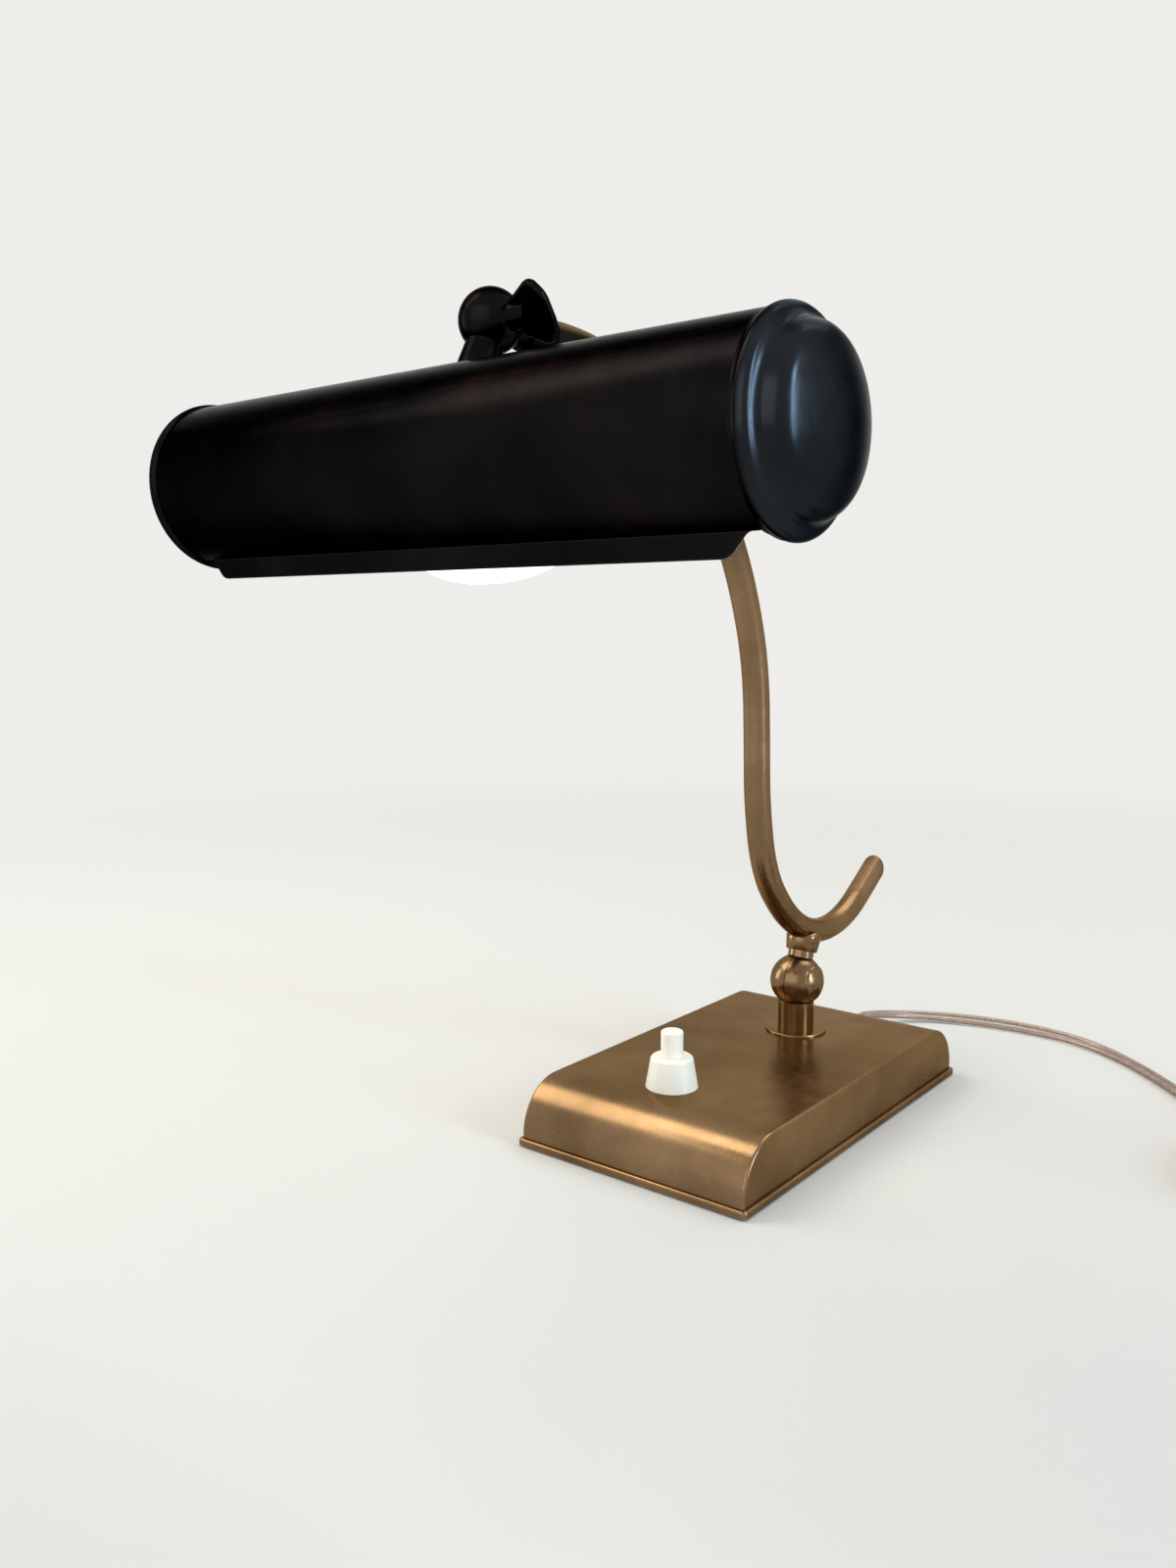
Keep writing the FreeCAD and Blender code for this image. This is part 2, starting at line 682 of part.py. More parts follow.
def make_switch_tabs():
    top = COVER_UNDERSIDE - SWITCH_BODY_LENGTH
    tabs = []
    for side in (-1, 1):
        x = SWITCH_X + side * TAB_OFFSET
        half = TAB_THICK / 2
        tabs.append(box(
            x - half, x + half, SWITCH_Y - TAB_WIDTH / 2, SWITCH_Y + TAB_WIDTH / 2, top - TAB_LENGTH, top
        ))
    return Part.makeCompound(tabs)


def make_switch_collar():
    centre = Vector(SWITCH_X, SWITCH_Y, BASE_TOP)
    top, round_ = COLLAR_HEIGHT, COLLAR_ROUND
    bore = BUTTON_RADIUS + SLIDE_GAP
    thread = SWITCH_NECK_RADIUS + FIT_GAP
    drop = round_ * (1 - math.sqrt(0.5))
    outline = [
        (0, thread),
        (0, COLLAR_BASE_RADIUS),
        (top - round_, COLLAR_TOP_RADIUS),
        (top - drop, COLLAR_TOP_RADIUS - drop, top, COLLAR_TOP_RADIUS - round_),
        (top, bore),
        (SWITCH_NECK_RISE, bore),
        (SWITCH_NECK_RISE, thread),
    ]
    return turned(outline, centre, Z_AXIS, X_AXIS)


def make_switch_button():
    centre = Vector(SWITCH_X, SWITCH_Y, BUTTON_BOTTOM)
    top = BUTTON_SINK + BUTTON_RISE
    drop = BUTTON_ROUND * (1 - math.sqrt(0.5))
    guide = BUTTON_GUIDE_RADIUS
    outline = [
        (-BUTTON_GUIDE_LENGTH, 0),
        (-BUTTON_GUIDE_LENGTH, guide),
        (0, guide),
        (0, BUTTON_RADIUS),
        (top - BUTTON_ROUND, BUTTON_RADIUS),
        (top - drop, BUTTON_RADIUS - drop, top, BUTTON_RADIUS - BUTTON_ROUND),
        (top, 0),
    ]
    return turned(outline, centre, Z_AXIS, X_AXIS)


def make_switch_spring():
    """One unbroken coil from its seat to the button's underside."""
    low = SPRING_SEAT + SPRING_WIRE_RADIUS
    high = BUTTON_BOTTOM - SPRING_WIRE_RADIUS
    rise = (high - low) / (2 * math.pi * SPRING_TURNS)
    centre = Vector(SWITCH_X, SWITCH_Y, 0)

    def place(turn):
        out = Vector(math.cos(turn), math.sin(turn), 0)
        way = Vector(-math.sin(turn), math.cos(turn), rise / SPRING_MEAN_RADIUS).normalize()
        return centre + out * SPRING_MEAN_RADIUS + Z_AXIS * (low + rise * turn), way

    edges = []
    for quarter in range(4 * SPRING_TURNS):
        p0, t0 = place(quarter * math.pi / 2)
        p1, t1 = place((quarter + 1) * math.pi / 2)
        edges += two_arcs(p0, t0, p1, t1)
    start, way = place(0)
    return swept(edges, polygon_wire(start, way, X_AXIS, SPRING_WIRE_RADIUS, SPRING_WIRE_SIDES))


# Knuckles


def half_space(side, from_x):
    """Everything beyond from_x on one side, where the side is 1 for +X and -1 for -X."""
    if side > 0:
        return box(from_x, FAR, -FAR, FAR, -FAR, FAR)
    return box(-FAR, from_x, -FAR, FAR, -FAR, FAR)


def knuckle_half(centre, ball_radius, side, neck, screw_hole):
    """Half a hollow ball with its round neck. The other half's side of the neck is cupped clear of it."""
    seam_x = side * SEAM / 2
    own = half_space(side, seam_x)
    ball = Part.makeSphere(ball_radius, centre).common(own)
    cup = Part.makeSphere(ball_radius + BODY_GAP, centre).cut(own)
    hollow = Part.makeSphere(ball_radius - BALL_WALL, centre).common(own)
    boss = rod(BOSS_RADIUS, centre - X_AXIS * FAR, X_AXIS, 2 * FAR)
    solid = ball.fuse(neck.cut(cup)).cut(hollow.cut(boss))
    through = rod(screw_hole, centre - X_AXIS * FAR, X_AXIS, 2 * FAR)
    return solid.cut(through)


def wire_bore(centre, along, length):
    return rod(WIRE_BORE_RADIUS, centre + along * BOSS_RADIUS, along, length)


def washer_recess(centre, side):
    """Sunk into the boss on the side that carries the friction washer."""
    depth = FRICTION_WASHER_SINK + SEAM
    start = centre + X_AXIS * (side * (SEAM / 2 + FRICTION_WASHER_SINK))
    return rod(FRICTION_WASHER_RADIUS + FIT_GAP, start, X_AXIS * -side, depth)


def friction_washer(centre, side):
    start = centre + X_AXIS * (side * (SEAM / 2 + FRICTION_WASHER_SINK))
    bore = KNUCKLE_SCREW_RADIUS + SHAFT_GAP
    return ring(FRICTION_WASHER_RADIUS, bore, start, X_AXIS * -side, FRICTION_WASHER_SINK + SEAM)


def head_recess(centre, ball_radius, side, gap):
    start = centre + X_AXIS * (side * (ball_radius - KNUCKLE_HEAD_DEPTH))
    return rod(KNUCKLE_HEAD_RADIUS + gap, start, X_AXIS * side, KNUCKLE_HEAD_DEPTH + 1)


def knuckle_screw(centre, ball_radius, side, reach):
    """A screw along X whose domed, slotted head closes the ball's outline on one side."""
    out = X_AXIS * side
    seat = centre + out * (ball_radius - KNUCKLE_HEAD_DEPTH)
    shank = rod(KNUCKLE_SCREW_RADIUS, seat, -out, ball_radius - KNUCKLE_HEAD_DEPTH + reach)
    head = rod(KNUCKLE_HEAD_RADIUS, seat, out, KNUCKLE_HEAD_DEPTH + 1)
    head = head.common(Part.makeSphere(ball_radius, centre))
    slot_floor = ball_radius - KNUCKLE_SLOT_DEPTH
    near, far = sorted((centre.x + side * slot_floor, centre.x + side * (ball_radius + 1)))
    half = KNUCKLE_SLOT_WIDTH / 2
    slot = box(near, far, centre.y - FAR, centre.y + FAR, centre.z - half, centre.z + half)
    return shank.fuse(head.cut(slot)).removeSplitter()


def nut_seat():
    """The height of the ballast face that the stem's spring washer presses on."""
    return COVER_UNDERSIDE - BALLAST_THICK + NUT_HEIGHT + SPRING_WASHER_THICK + 1.0


def make_stem():
    neck = rod(STEM_RADIUS, LOWER_BALL, -Z_AXIS, LOWER_BALL_Z - STEM_BOTTOM)
    solid = knuckle_half(LOWER_BALL, LOWER_BALL_RADIUS, -1, neck, KNUCKLE_SCREW_RADIUS + FIT_GAP)
    socket = rod(NIPPLE_RADIUS + FIT_GAP, Vector(0, STEM_Y, STEM_BOTTOM), Z_AXIS, NIPPLE_IN_STEM)
    bore = wire_bore(LOWER_BALL, -Z_AXIS, LOWER_BALL_Z)
    return solid.cut(socket).cut(bore).cut(washer_recess(LOWER_BALL, -1))


def make_stem_washer():
    seat = Vector(0, STEM_Y, BASE_TOP)
    washer = ring(STEM_WASHER_RADIUS, NIPPLE_RADIUS + BODY_GAP, seat, Z_AXIS, STEM_WASHER_THICK)
    top_edges = [e for e in washer.Edges if e.BoundBox.ZMin > STEM_BOTTOM - 1e-6]
    rim = [e for e in top_edges if e.BoundBox.XLength > 2 * STEM_RADIUS]
    return washer.makeFillet(STEM_WASHER_ROUND, rim)


def make_stem_nipple():
    low = nut_seat() - SPRING_WASHER_THICK - NUT_HEIGHT - 0.5
    high = STEM_BOTTOM + NIPPLE_IN_STEM
    return ring(NIPPLE_RADIUS, NIPPLE_BORE_RADIUS, Vector(0, STEM_Y, low), Z_AXIS, high - low)


def make_stem_nut():
    foot = Vector(0, STEM_Y, nut_seat() - SPRING_WASHER_THICK - NUT_HEIGHT)
    return hexagon(NUT_FLAT_RADIUS, foot, Z_AXIS, Y_AXIS, NUT_HEIGHT, NIPPLE_RADIUS + FIT_GAP)


def make_stem_spring_washer():
    low = nut_seat() - SPRING_WASHER_THICK
    start = Vector(0, STEM_Y, low)
    return ring(SPRING_WASHER_RADIUS, NIPPLE_RADIUS + FIT_GAP, start, Z_AXIS, SPRING_WASHER_THICK)


# Arm


def arm_stations():
    """The points and directions that the arm runs through, up to its end in the head ferrule."""
    stations = [(LOWER_BALL + Vector(0, y, z), in_yz(heading)) for y, z, heading in ARM_PLACES]
    stations.append((UPPER_BALL + Y_AXIS * UPPER_BACK_NECK_LENGTH, -Y_AXIS))
    return stations


def arm_edges(first):
    stations = arm_stations()[first:]
    edges = []
    for here, following in zip(stations, stations[1:]):
        edges += two_arcs(*here, *following)
    return edges


def arm_sweep(first, radius):
    """A round sweep along the arm's middle line, from one of its places to its upper end."""
    start, way = arm_stations()[first]
    return swept(arm_edges(first), circle_wire(start, way, radius))


def lower_neck_way():
    return in_yz(LOWER_NECK_ANGLE)


def make_arm_outside():
    """The arm's full outline, with the hook's tip cut at a slant and rounded."""
    tip, way = arm_stations()[0]
    cut = tip + way * ARM_TIP_SHORT
    normal = in_yz(ARM_PLACES[0][2] + 180 - ARM_TIP_SLANT)
    waste = rod(3 * ARM_RADIUS, cut, normal, 3 * ARM_RADIUS)
    arm = arm_sweep(0, ARM_RADIUS).cut(waste)
    tip_edges = [e for e in arm.Edges if abs((e.CenterOfMass - cut).dot(normal)) < 1e-4]
    return arm.makeFillet(ARM_TIP_ROUND, tip_edges)


def make_arm(outside):
    inlet = rod(WIRE_BORE_RADIUS, LOWER_BALL, lower_neck_way(), LOWER_NECK_LENGTH)
    return outside.cut(arm_sweep(PLACES_BEFORE_BORE_COUNT, ARM_RADIUS - ARM_WALL)).cut(inlet)


def make_arm_knuckle(outside):
    neck = rod(LOWER_NECK_RADIUS, LOWER_BALL, lower_neck_way(), LOWER_NECK_LENGTH)
    solid = knuckle_half(LOWER_BALL, LOWER_BALL_RADIUS, 1, neck, KNUCKLE_SCREW_RADIUS + SHAFT_GAP)
    solid = solid.cut(head_recess(LOWER_BALL, LOWER_BALL_RADIUS, 1, BODY_GAP))
    return solid.cut(wire_bore(LOWER_BALL, lower_neck_way(), LOWER_NECK_LENGTH)).cut(outside)


def make_arm_foot(outside):
    """The flared ferrule between the lower neck and the arm."""
    start = LOWER_BALL + lower_neck_way() * FOOT_START
    foot = cone(FOOT_RADIUS, FOOT_TOP_RADIUS, start, lower_neck_way(), FOOT_LENGTH)
    foot = foot.cut(rod(LOWER_NECK_RADIUS + FIT_GAP, LOWER_BALL, lower_neck_way(), FAR))
    return foot.cut(outside)


def make_head_ferrule(outside):
    start = UPPER_BALL + Y_AXIS * HEAD_FERRULE_START
    ferrule = cone(HEAD_FERRULE_RADIUS, HEAD_FERRULE_END_RADIUS, start, Y_AXIS, HEAD_FERRULE_LENGTH)
    neck = rod(UPPER_BACK_NECK_RADIUS + FIT_GAP, UPPER_BALL, Y_AXIS, UPPER_BACK_NECK_LENGTH)
    return ferrule.cut(neck).cut(outside)


def make_head_knuckle():
    neck = rod(UPPER_BACK_NECK_RADIUS, UPPER_BALL, Y_AXIS, UPPER_BACK_NECK_LENGTH)
    solid = knuckle_half(UPPER_BALL, UPPER_BALL_RADIUS, 1, neck, KNUCKLE_SCREW_RADIUS + SHAFT_GAP)
    flat = half_space(1, UPPER_BALL_RADIUS - WING_SEAT_DEPTH)
    return solid.cut(flat).cut(wire_bore(UPPER_BALL, Y_AXIS, FAR))


# Wing nut


def make_wing_nut():
    """A round hub with a flat plate whose two lobes lean out and away from the ball."""
    seat = UPPER_BALL + X_AXIS * (UPPER_BALL_RADIUS - WING_SEAT_DEPTH)
    hub = cone(WING_HUB_RADIUS, WING_HUB_TOP_RADIUS, seat, X_AXIS, WING_HUB_LENGTH)
    span = in_yz(WING_ANGLE)
    thick_way = X_AXIS.cross(span)
    near_face = UPPER_BALL - thick_way * (WING_THICK / 2)
    half_outline = [
        (WING_START, WING_START_HALF, WING_ROUND),
        (WING_TIP_REACH, WING_TIP_HALF, WING_TIP_RADIUS),
        (WING_END_REACH, WING_END_HALF, WING_END_RADIUS),
    ]
    corners = [(near_face + X_AXIS * x + span * y, r) for x, y, r in half_outline]
    corners += [(near_face + X_AXIS * x - span * y, r) for x, y, r in reversed(half_outline)]
    plate = Part.Face(rounded_outline(corners)).extrude(thick_way * WING_THICK)
    flat_edges = []
    for edge in plate.Edges:
        heights = [(v.Point - near_face).dot(thick_way) for v in edge.Vertexes]
        if max(heights) - min(heights) < 1e-6:
            flat_edges.append(edge)
    plate = plate.makeFillet(WING_ROUND, flat_edges)
    bore = rod(KNUCKLE_SCREW_RADIUS + SHAFT_GAP, UPPER_BALL, X_AXIS, KNUCKLE_SCREW_OUT + 1.0)
    return hub.fuse(plate).cut(bore).removeSplitter()


# Shade


def shade_way():
    return in_yz(SHADE_NECK_ANGLE)


def shade_barrel(radius):
    """The full cylinder of a radius about the shade's axis."""
    return rod(radius, SHADE_CENTRE - X_AXIS * FAR, X_AXIS, 2 * FAR)


def make_shade_knuckle():
    length = NECK_TO_SHADE - SHADE_RADIUS + SHADE_NECK_SINK
    neck = cone(SHADE_NECK_START_RADIUS, SHADE_NECK_END_RADIUS, UPPER_BALL, shade_way(), length)
    solid = knuckle_half(UPPER_BALL, UPPER_BALL_RADIUS, -1, neck, KNUCKLE_SCREW_RADIUS + FIT_GAP)
    solid = solid.cut(head_recess(UPPER_BALL, UPPER_BALL_RADIUS, -1, FIT_GAP)).cut(shade_barrel(SHADE_RADIUS))
    socket_start = NECK_TO_SHADE - SHADE_RADIUS - SHADE_NIPPLE_IN_NECK
    socket = rod(SHADE_NIPPLE_RADIUS + FIT_GAP, UPPER_BALL + shade_way() * socket_start, shade_way(), FAR)
    bore = wire_bore(UPPER_BALL, shade_way(), FAR)
    return solid.cut(socket).cut(bore).cut(washer_recess(UPPER_BALL, -1))


def skirt_edges(y):
    """The lip's outline in the XZ plane: its ends slant up to the tube's cut edge."""
    front = math.radians(SHADE_FRONT_ANGLE)
    top = SHADE_Z + SHADE_INNER * math.sin(front)
    cut = SHADE_Z + SHADE_RADIUS * math.sin(front)
    low = Vector(SHADE_HALF_LENGTH - SKIRT_END_GAP, y, cut - SKIRT_DEPTH)
    high = Vector(low.x + SKIRT_DEPTH / math.tan(math.radians(SKIRT_END_ANGLE)), y, cut)
    end = high + X_AXIS * SKIRT_TOP_RADIUS
    low_start, low_middle, low_end = corner_arc(low - X_AXIS, low, high, SKIRT_CORNER_RADIUS)
    high_start, high_middle, high_end = corner_arc(low, high, end, SKIRT_TOP_RADIUS)
    tip = Vector(end.x, y, top)
    right = [low_start, (low_middle, low_end), high_start, (high_middle, high_end), end, tip]
    left = [tip, end, high_end, (high_middle, high_start), low_end, (low_middle, low_start)]

    def mirrored(item):
        if isinstance(item, tuple):
            return tuple(mirrored(point) for point in item)
        return Vector(-item.x, item.y, item.z)

    return chain(right + [mirrored(item) for item in left] + [low_start])


def make_shade_tube():
    start, end = SHADE_REAR_ANGLE, SHADE_FRONT_ANGLE
    middle = (start + end) / 2
    left = SHADE_CENTRE - X_AXIS * SHADE_HALF_LENGTH
    edges = chain([
        left + in_yz(start) * SHADE_RADIUS,
        (left + in_yz(middle) * SHADE_RADIUS, left + in_yz(end) * SHADE_RADIUS),
        left + in_yz(end) * SHADE_INNER,
        (left + in_yz(middle) * SHADE_INNER, left + in_yz(start) * SHADE_INNER),
        left + in_yz(start) * SHADE_RADIUS,
    ])
    tube = prism(edges, X_AXIS * (2 * SHADE_HALF_LENGTH))
    front_y = SHADE_Y + SHADE_RADIUS * math.cos(math.radians(SHADE_FRONT_ANGLE))
    skirt = prism(skirt_edges(front_y), Y_AXIS * SHADE_WALL).cut(shade_barrel(SHADE_INNER))
    hole_start = UPPER_BALL + shade_way() * (NECK_TO_SHADE - SHADE_RADIUS - 1)
    neck_hole = rod(SHADE_NIPPLE_RADIUS + FIT_GAP, hole_start, shade_way(), SHADE_WALL + 3)
    return tube.fuse(skirt).cut(neck_hole)


def dome_outline(half_width, depth, shoulder):
    """Middle and end points of the shoulder arc and the crown arc of a dome, as (depth, radius)."""
    crown = (half_width ** 2 + depth ** 2 - 2 * half_width * shoulder) / (2 * (depth - shoulder))
    lean = math.atan2(half_width - shoulder, crown - depth)
    shoulder_mid = (math.pi / 2 - lean) / 2
    points = [
        (shoulder * math.sin(shoulder_mid), half_width - shoulder + shoulder * math.cos(shoulder_mid)),
        (shoulder * math.cos(lean), half_width - shoulder + shoulder * math.sin(lean)),
        (depth - crown + crown * math.cos(lean / 2), crown * math.sin(lean / 2)),
        (depth, 0.0),
    ]
    return points


def make_end_cap(side):
    """A domed cap: a bead that laps over the tube's end, a narrow valley and the dome."""
    out = X_AXIS * side
    sleeve_radius = SHADE_INNER - FIT_GAP
    seat_radius = SHADE_RADIUS + FIT_GAP
    lap_radius = seat_radius + CAP_LAP_WALL
    crown_radius = BEAD_OUTER_RADIUS - BEAD_RADIUS
    lap_turn = math.acos((lap_radius - crown_radius) / BEAD_RADIUS)
    bead_start = -BEAD_BACK - BEAD_RADIUS * math.sin(lap_turn)
    middle_turn = (math.pi / 2 - lap_turn) / 2
    middle = -BEAD_BACK + BEAD_RADIUS * math.sin(middle_turn)
    middle_radius = crown_radius + BEAD_RADIUS * math.cos(middle_turn)
    face = BEAD_RADIUS - BEAD_BACK
    start = face + VALLEY_RADIUS
    valley_drop = VALLEY_RADIUS * (1 - math.sqrt(0.5))
    inner_radius = DOME_RADIUS - CAP_WALL
    s0, s1, c0, c1 = dome_outline(DOME_RADIUS, DOME_DEPTH, DOME_SHOULDER_RADIUS)
    i0, i1, k0, k1 = dome_outline(inner_radius, DOME_DEPTH - CAP_WALL, DOME_SHOULDER_RADIUS - CAP_WALL)
    outline = [
        (-CAP_SLEEVE_LENGTH, sleeve_radius - CAP_SLEEVE_WALL),
        (-CAP_SLEEVE_LENGTH, sleeve_radius),
        (FIT_GAP, sleeve_radius),
        (FIT_GAP, seat_radius),
        (-CAP_LAP, seat_radius),
        (-CAP_LAP, lap_radius),
        (bead_start, lap_radius),
        (middle, middle_radius, face, crown_radius),
        (face, DOME_RADIUS + VALLEY_RADIUS),
        (face + valley_drop, DOME_RADIUS + valley_drop, start, DOME_RADIUS),
        (start + s0[0], s0[1], start + s1[0], s1[1]),
        (start + c0[0], c0[1], start + c1[0], c1[1]),
        (start + k1[0], k1[1]),
        (start + k0[0], k0[1], start + i1[0], i1[1]),
        (start + i0[0], i0[1], start, inner_radius),
        (face - CAP_WALL, inner_radius),
        (face - CAP_WALL, sleeve_radius - CAP_SLEEVE_WALL),
    ]
    return turned(outline, SHADE_CENTRE + out * SHADE_HALF_LENGTH, out, Z_AXIS)


# Inside the shade


def saddle_start():
    """Distance from the ball, along the neck, where the flat side of the saddle washer lies."""
    edge = math.sqrt(BRACKET_INNER ** 2 - SADDLE_RADIUS ** 2)
    return NECK_TO_SHADE - edge + SADDLE_THICK


def make_neck_saddle():
    start = UPPER_BALL + shade_way() * (NECK_TO_SHADE - SHADE_RADIUS)
    length = saddle_start() - NECK_TO_SHADE + SHADE_RADIUS
    washer = ring(SADDLE_RADIUS, SHADE_NIPPLE_RADIUS + FIT_GAP, start, shade_way(), length)
    return washer.common(shade_barrel(BRACKET_INNER))


def make_neck_nut():
    start = UPPER_BALL + shade_way() * saddle_start()
    bore = SHADE_NIPPLE_RADIUS + FIT_GAP
    return hexagon(NUT_FLAT_RADIUS, start, shade_way(), X_AXIS, SHADE_NUT_HEIGHT, bore)


def neck_nipple_end():
    return saddle_start() + SHADE_NUT_HEIGHT + SHADE_NIPPLE_SPARE


def make_neck_nipple():
    start = NECK_TO_SHADE - SHADE_RADIUS - SHADE_NIPPLE_IN_NECK
    length = neck_nipple_end() - start
    return ring(SHADE_NIPPLE_RADIUS, WIRE_BORE_RADIUS, UPPER_BALL + shade_way() * start, shade_way(), length)


def lamp_point(x):
    return Vector(x, LAMP_Y, LAMP_Z)


def bracket_neck_y():
    return SHADE_Y - SHADE_INNER * math.cos(math.radians(SHADE_NECK_ANGLE))


def bracket_leg_y():
    return (bracket_neck_y() + LAMP_Y) / 2


def make_holder_bracket():
    """A curved strap under the shade's crown, with a leg down to the lamp holder."""
    neck_y = bracket_neck_y()
    half = BRACKET_WIDTH / 2
    band = shade_barrel(SHADE_INNER).cut(shade_barrel(BRACKET_INNER))
    strap = band.common(box(BRACKET_BACK, BRACKET_FRONT, neck_y - half, neck_y + half, SHADE_Z, FAR))
    centre_y = bracket_leg_y()
    leg = box(BRACKET_BACK, HOLDER_BACK_X, centre_y - half, centre_y + half, LAMP_Z, FAR)
    leg = leg.common(shade_barrel(SHADE_INNER))
    foot = rod(half, lamp_point(BRACKET_BACK), X_AXIS, BRACKET_THICK)
    bracket = strap.fuse(leg).fuse(foot).removeSplitter()
    neck_hole = rod(SHADE_NIPPLE_RADIUS + FIT_GAP, UPPER_BALL, shade_way(), NECK_TO_SHADE)
    lamp_hole = rod(SHADE_NIPPLE_RADIUS + FIT_GAP, lamp_point(-FAR), X_AXIS, FAR)
    return bracket.cut(neck_hole).cut(lamp_hole)


def make_holder_nut():
    start = lamp_point(BRACKET_BACK - HOLDER_NUT_HEIGHT)
    return hexagon(NUT_FLAT_RADIUS, start, X_AXIS, Z_AXIS, HOLDER_NUT_HEIGHT, SHADE_NIPPLE_RADIUS + FIT_GAP)


def make_holder_nipple():
    start = lamp_point(BRACKET_BACK - HOLDER_NUT_HEIGHT - HOLDER_NIPPLE_SPARE)
    return ring(SHADE_NIPPLE_RADIUS, WIRE_BORE_RADIUS, start, X_AXIS, HOLDER_NIPPLE_LENGTH)


def make_lamp_holder():
    """The holder's shell: closed behind round its nipple, open in front, with a thick rim."""
    inner = HOLDER_RADIUS - HOLDER_WALL
    drop = HOLDER_ROUND * (1 - math.sqrt(0.5))
    outline = [
        (0, SHADE_NIPPLE_RADIUS + FIT_GAP),
        (0, HOLDER_RADIUS - HOLDER_ROUND),
        (drop, HOLDER_RADIUS - drop, HOLDER_ROUND, HOLDER_RADIUS),
        (HOLDER_LENGTH - HOLDER_RIM, HOLDER_RADIUS),
        (HOLDER_LENGTH - HOLDER_RIM, HOLDER_RADIUS + HOLDER_RIM_PROUD),
        (HOLDER_LENGTH, HOLDER_RADIUS + HOLDER_RIM_PROUD),
        (HOLDER_LENGTH, inner),
        (HOLDER_WALL, inner),
        (HOLDER_WALL, SHADE_NIPPLE_RADIUS + FIT_GAP),
    ]
    return turned(outline, lamp_point(HOLDER_BACK_X), X_AXIS, Z_AXIS)


def make_holder_insert():
    """The insulating core with the screw-shell bore and the centre contact's floor."""
    start = HOLDER_MOUTH_X - 1.0 - INSERT_LENGTH
    core = rod(HOLDER_RADIUS - HOLDER_WALL - FIT_GAP, lamp_point(start), X_AXIS, INSERT_LENGTH)
    socket = rod(BULB_CAP_RADIUS + FIT_GAP, lamp_point(BULB_BASE_X - BULB_CAP_LENGTH), X_AXIS, FAR)
    contact_x = BULB_BASE_X - BULB_CAP_LENGTH - BULB_CONTACT_LENGTH
    contact = rod(BULB_CONTACT_RADIUS + FIT_GAP, lamp_point(contact_x), X_AXIS, FAR)
    mouth = rod(BULB_NECK_RADIUS + BODY_GAP, lamp_point(BULB_BASE_X), X_AXIS, FAR)
    return core.cut(socket).cut(contact).cut(mouth)


def make_bulb_cap():
    cap = rod(BULB_CAP_RADIUS, lamp_point(BULB_BASE_X - BULB_CAP_LENGTH), X_AXIS, BULB_CAP_LENGTH)
    contact_x = BULB_BASE_X - BULB_CAP_LENGTH - BULB_CONTACT_LENGTH
    contact = rod(BULB_CONTACT_RADIUS, lamp_point(contact_x), X_AXIS, BULB_CONTACT_LENGTH)
    return cap.fuse(contact).removeSplitter()


def make_bulb_glass():
    """A candle lamp: a long swelling glass with a rounded tip."""
    full = BULB_NECK_LENGTH
    centre = lamp_point(BULB_BASE_X)
    neck = chain([
        centre,
        centre + Z_AXIS * BULB_NECK_RADIUS,
        centre + X_AXIS * BULB_COLLAR_LENGTH + Z_AXIS * (BULB_NECK_RADIUS + BULB_COLLAR_FLARE),
        (centre + X_AXIS * BULB_MIDDLE_LENGTH + Z_AXIS * BULB_MIDDLE_RADIUS,
         centre + X_AXIS * full + Z_AXIS * BULB_RADIUS),
    ])
    crown_centre = centre + X_AXIS * full
    far_end = crown_centre + X_AXIS * BULB_TIP_LENGTH
    oval = Part.Ellipse(far_end, crown_centre + Z_AXIS * BULB_RADIUS, crown_centre)
    quarter = Part.ArcOfEllipse(oval, 0, math.pi / 2).toShape()
    edges = neck + [quarter, line(far_end, centre)]
    return revolved(edges, centre, X_AXIS)


def make_shade_lead():
    """The insulated lead from the neck, past the bracket's leg and back into the lamp holder."""
    start = UPPER_BALL + shade_way() * neck_nipple_end()
    end = lamp_point(BRACKET_BACK - HOLDER_NUT_HEIGHT - HOLDER_NIPPLE_SPARE)
    beside = bracket_leg_y() - BRACKET_WIDTH / 2 - SHADE_LEAD_BESIDE_LEG - STEM_LEAD_RADIUS
    leg = Vector(BRACKET_BACK, beside, SHADE_Z + SHADE_LEAD_PASS_RISE)
    back = lamp_point(end.x - SHADE_LEAD_LOOP)
    points = [
        start,
        start + shade_way() * SHADE_LEAD_DROP - X_AXIS * SHADE_LEAD_SIDE,
        Vector(leg.x / 2, (start.y + leg.y) / 2, (start.z + leg.z) / 2),
        leg,
        Vector(back.x, (back.y + leg.y) / 2, (back.z + leg.z) / 2),
        end - X_AXIS * SHADE_LEAD_TURN,
        end,
    ]
    return flex(points, STEM_LEAD_RADIUS, "shade_lead")[0]


# Flex, plug and what holds them


def bush_tip():
    return Vector(CORD_EXIT_X, COVER_HALF_Y + BUSH_LENGTH, CORD_EXIT_Z)


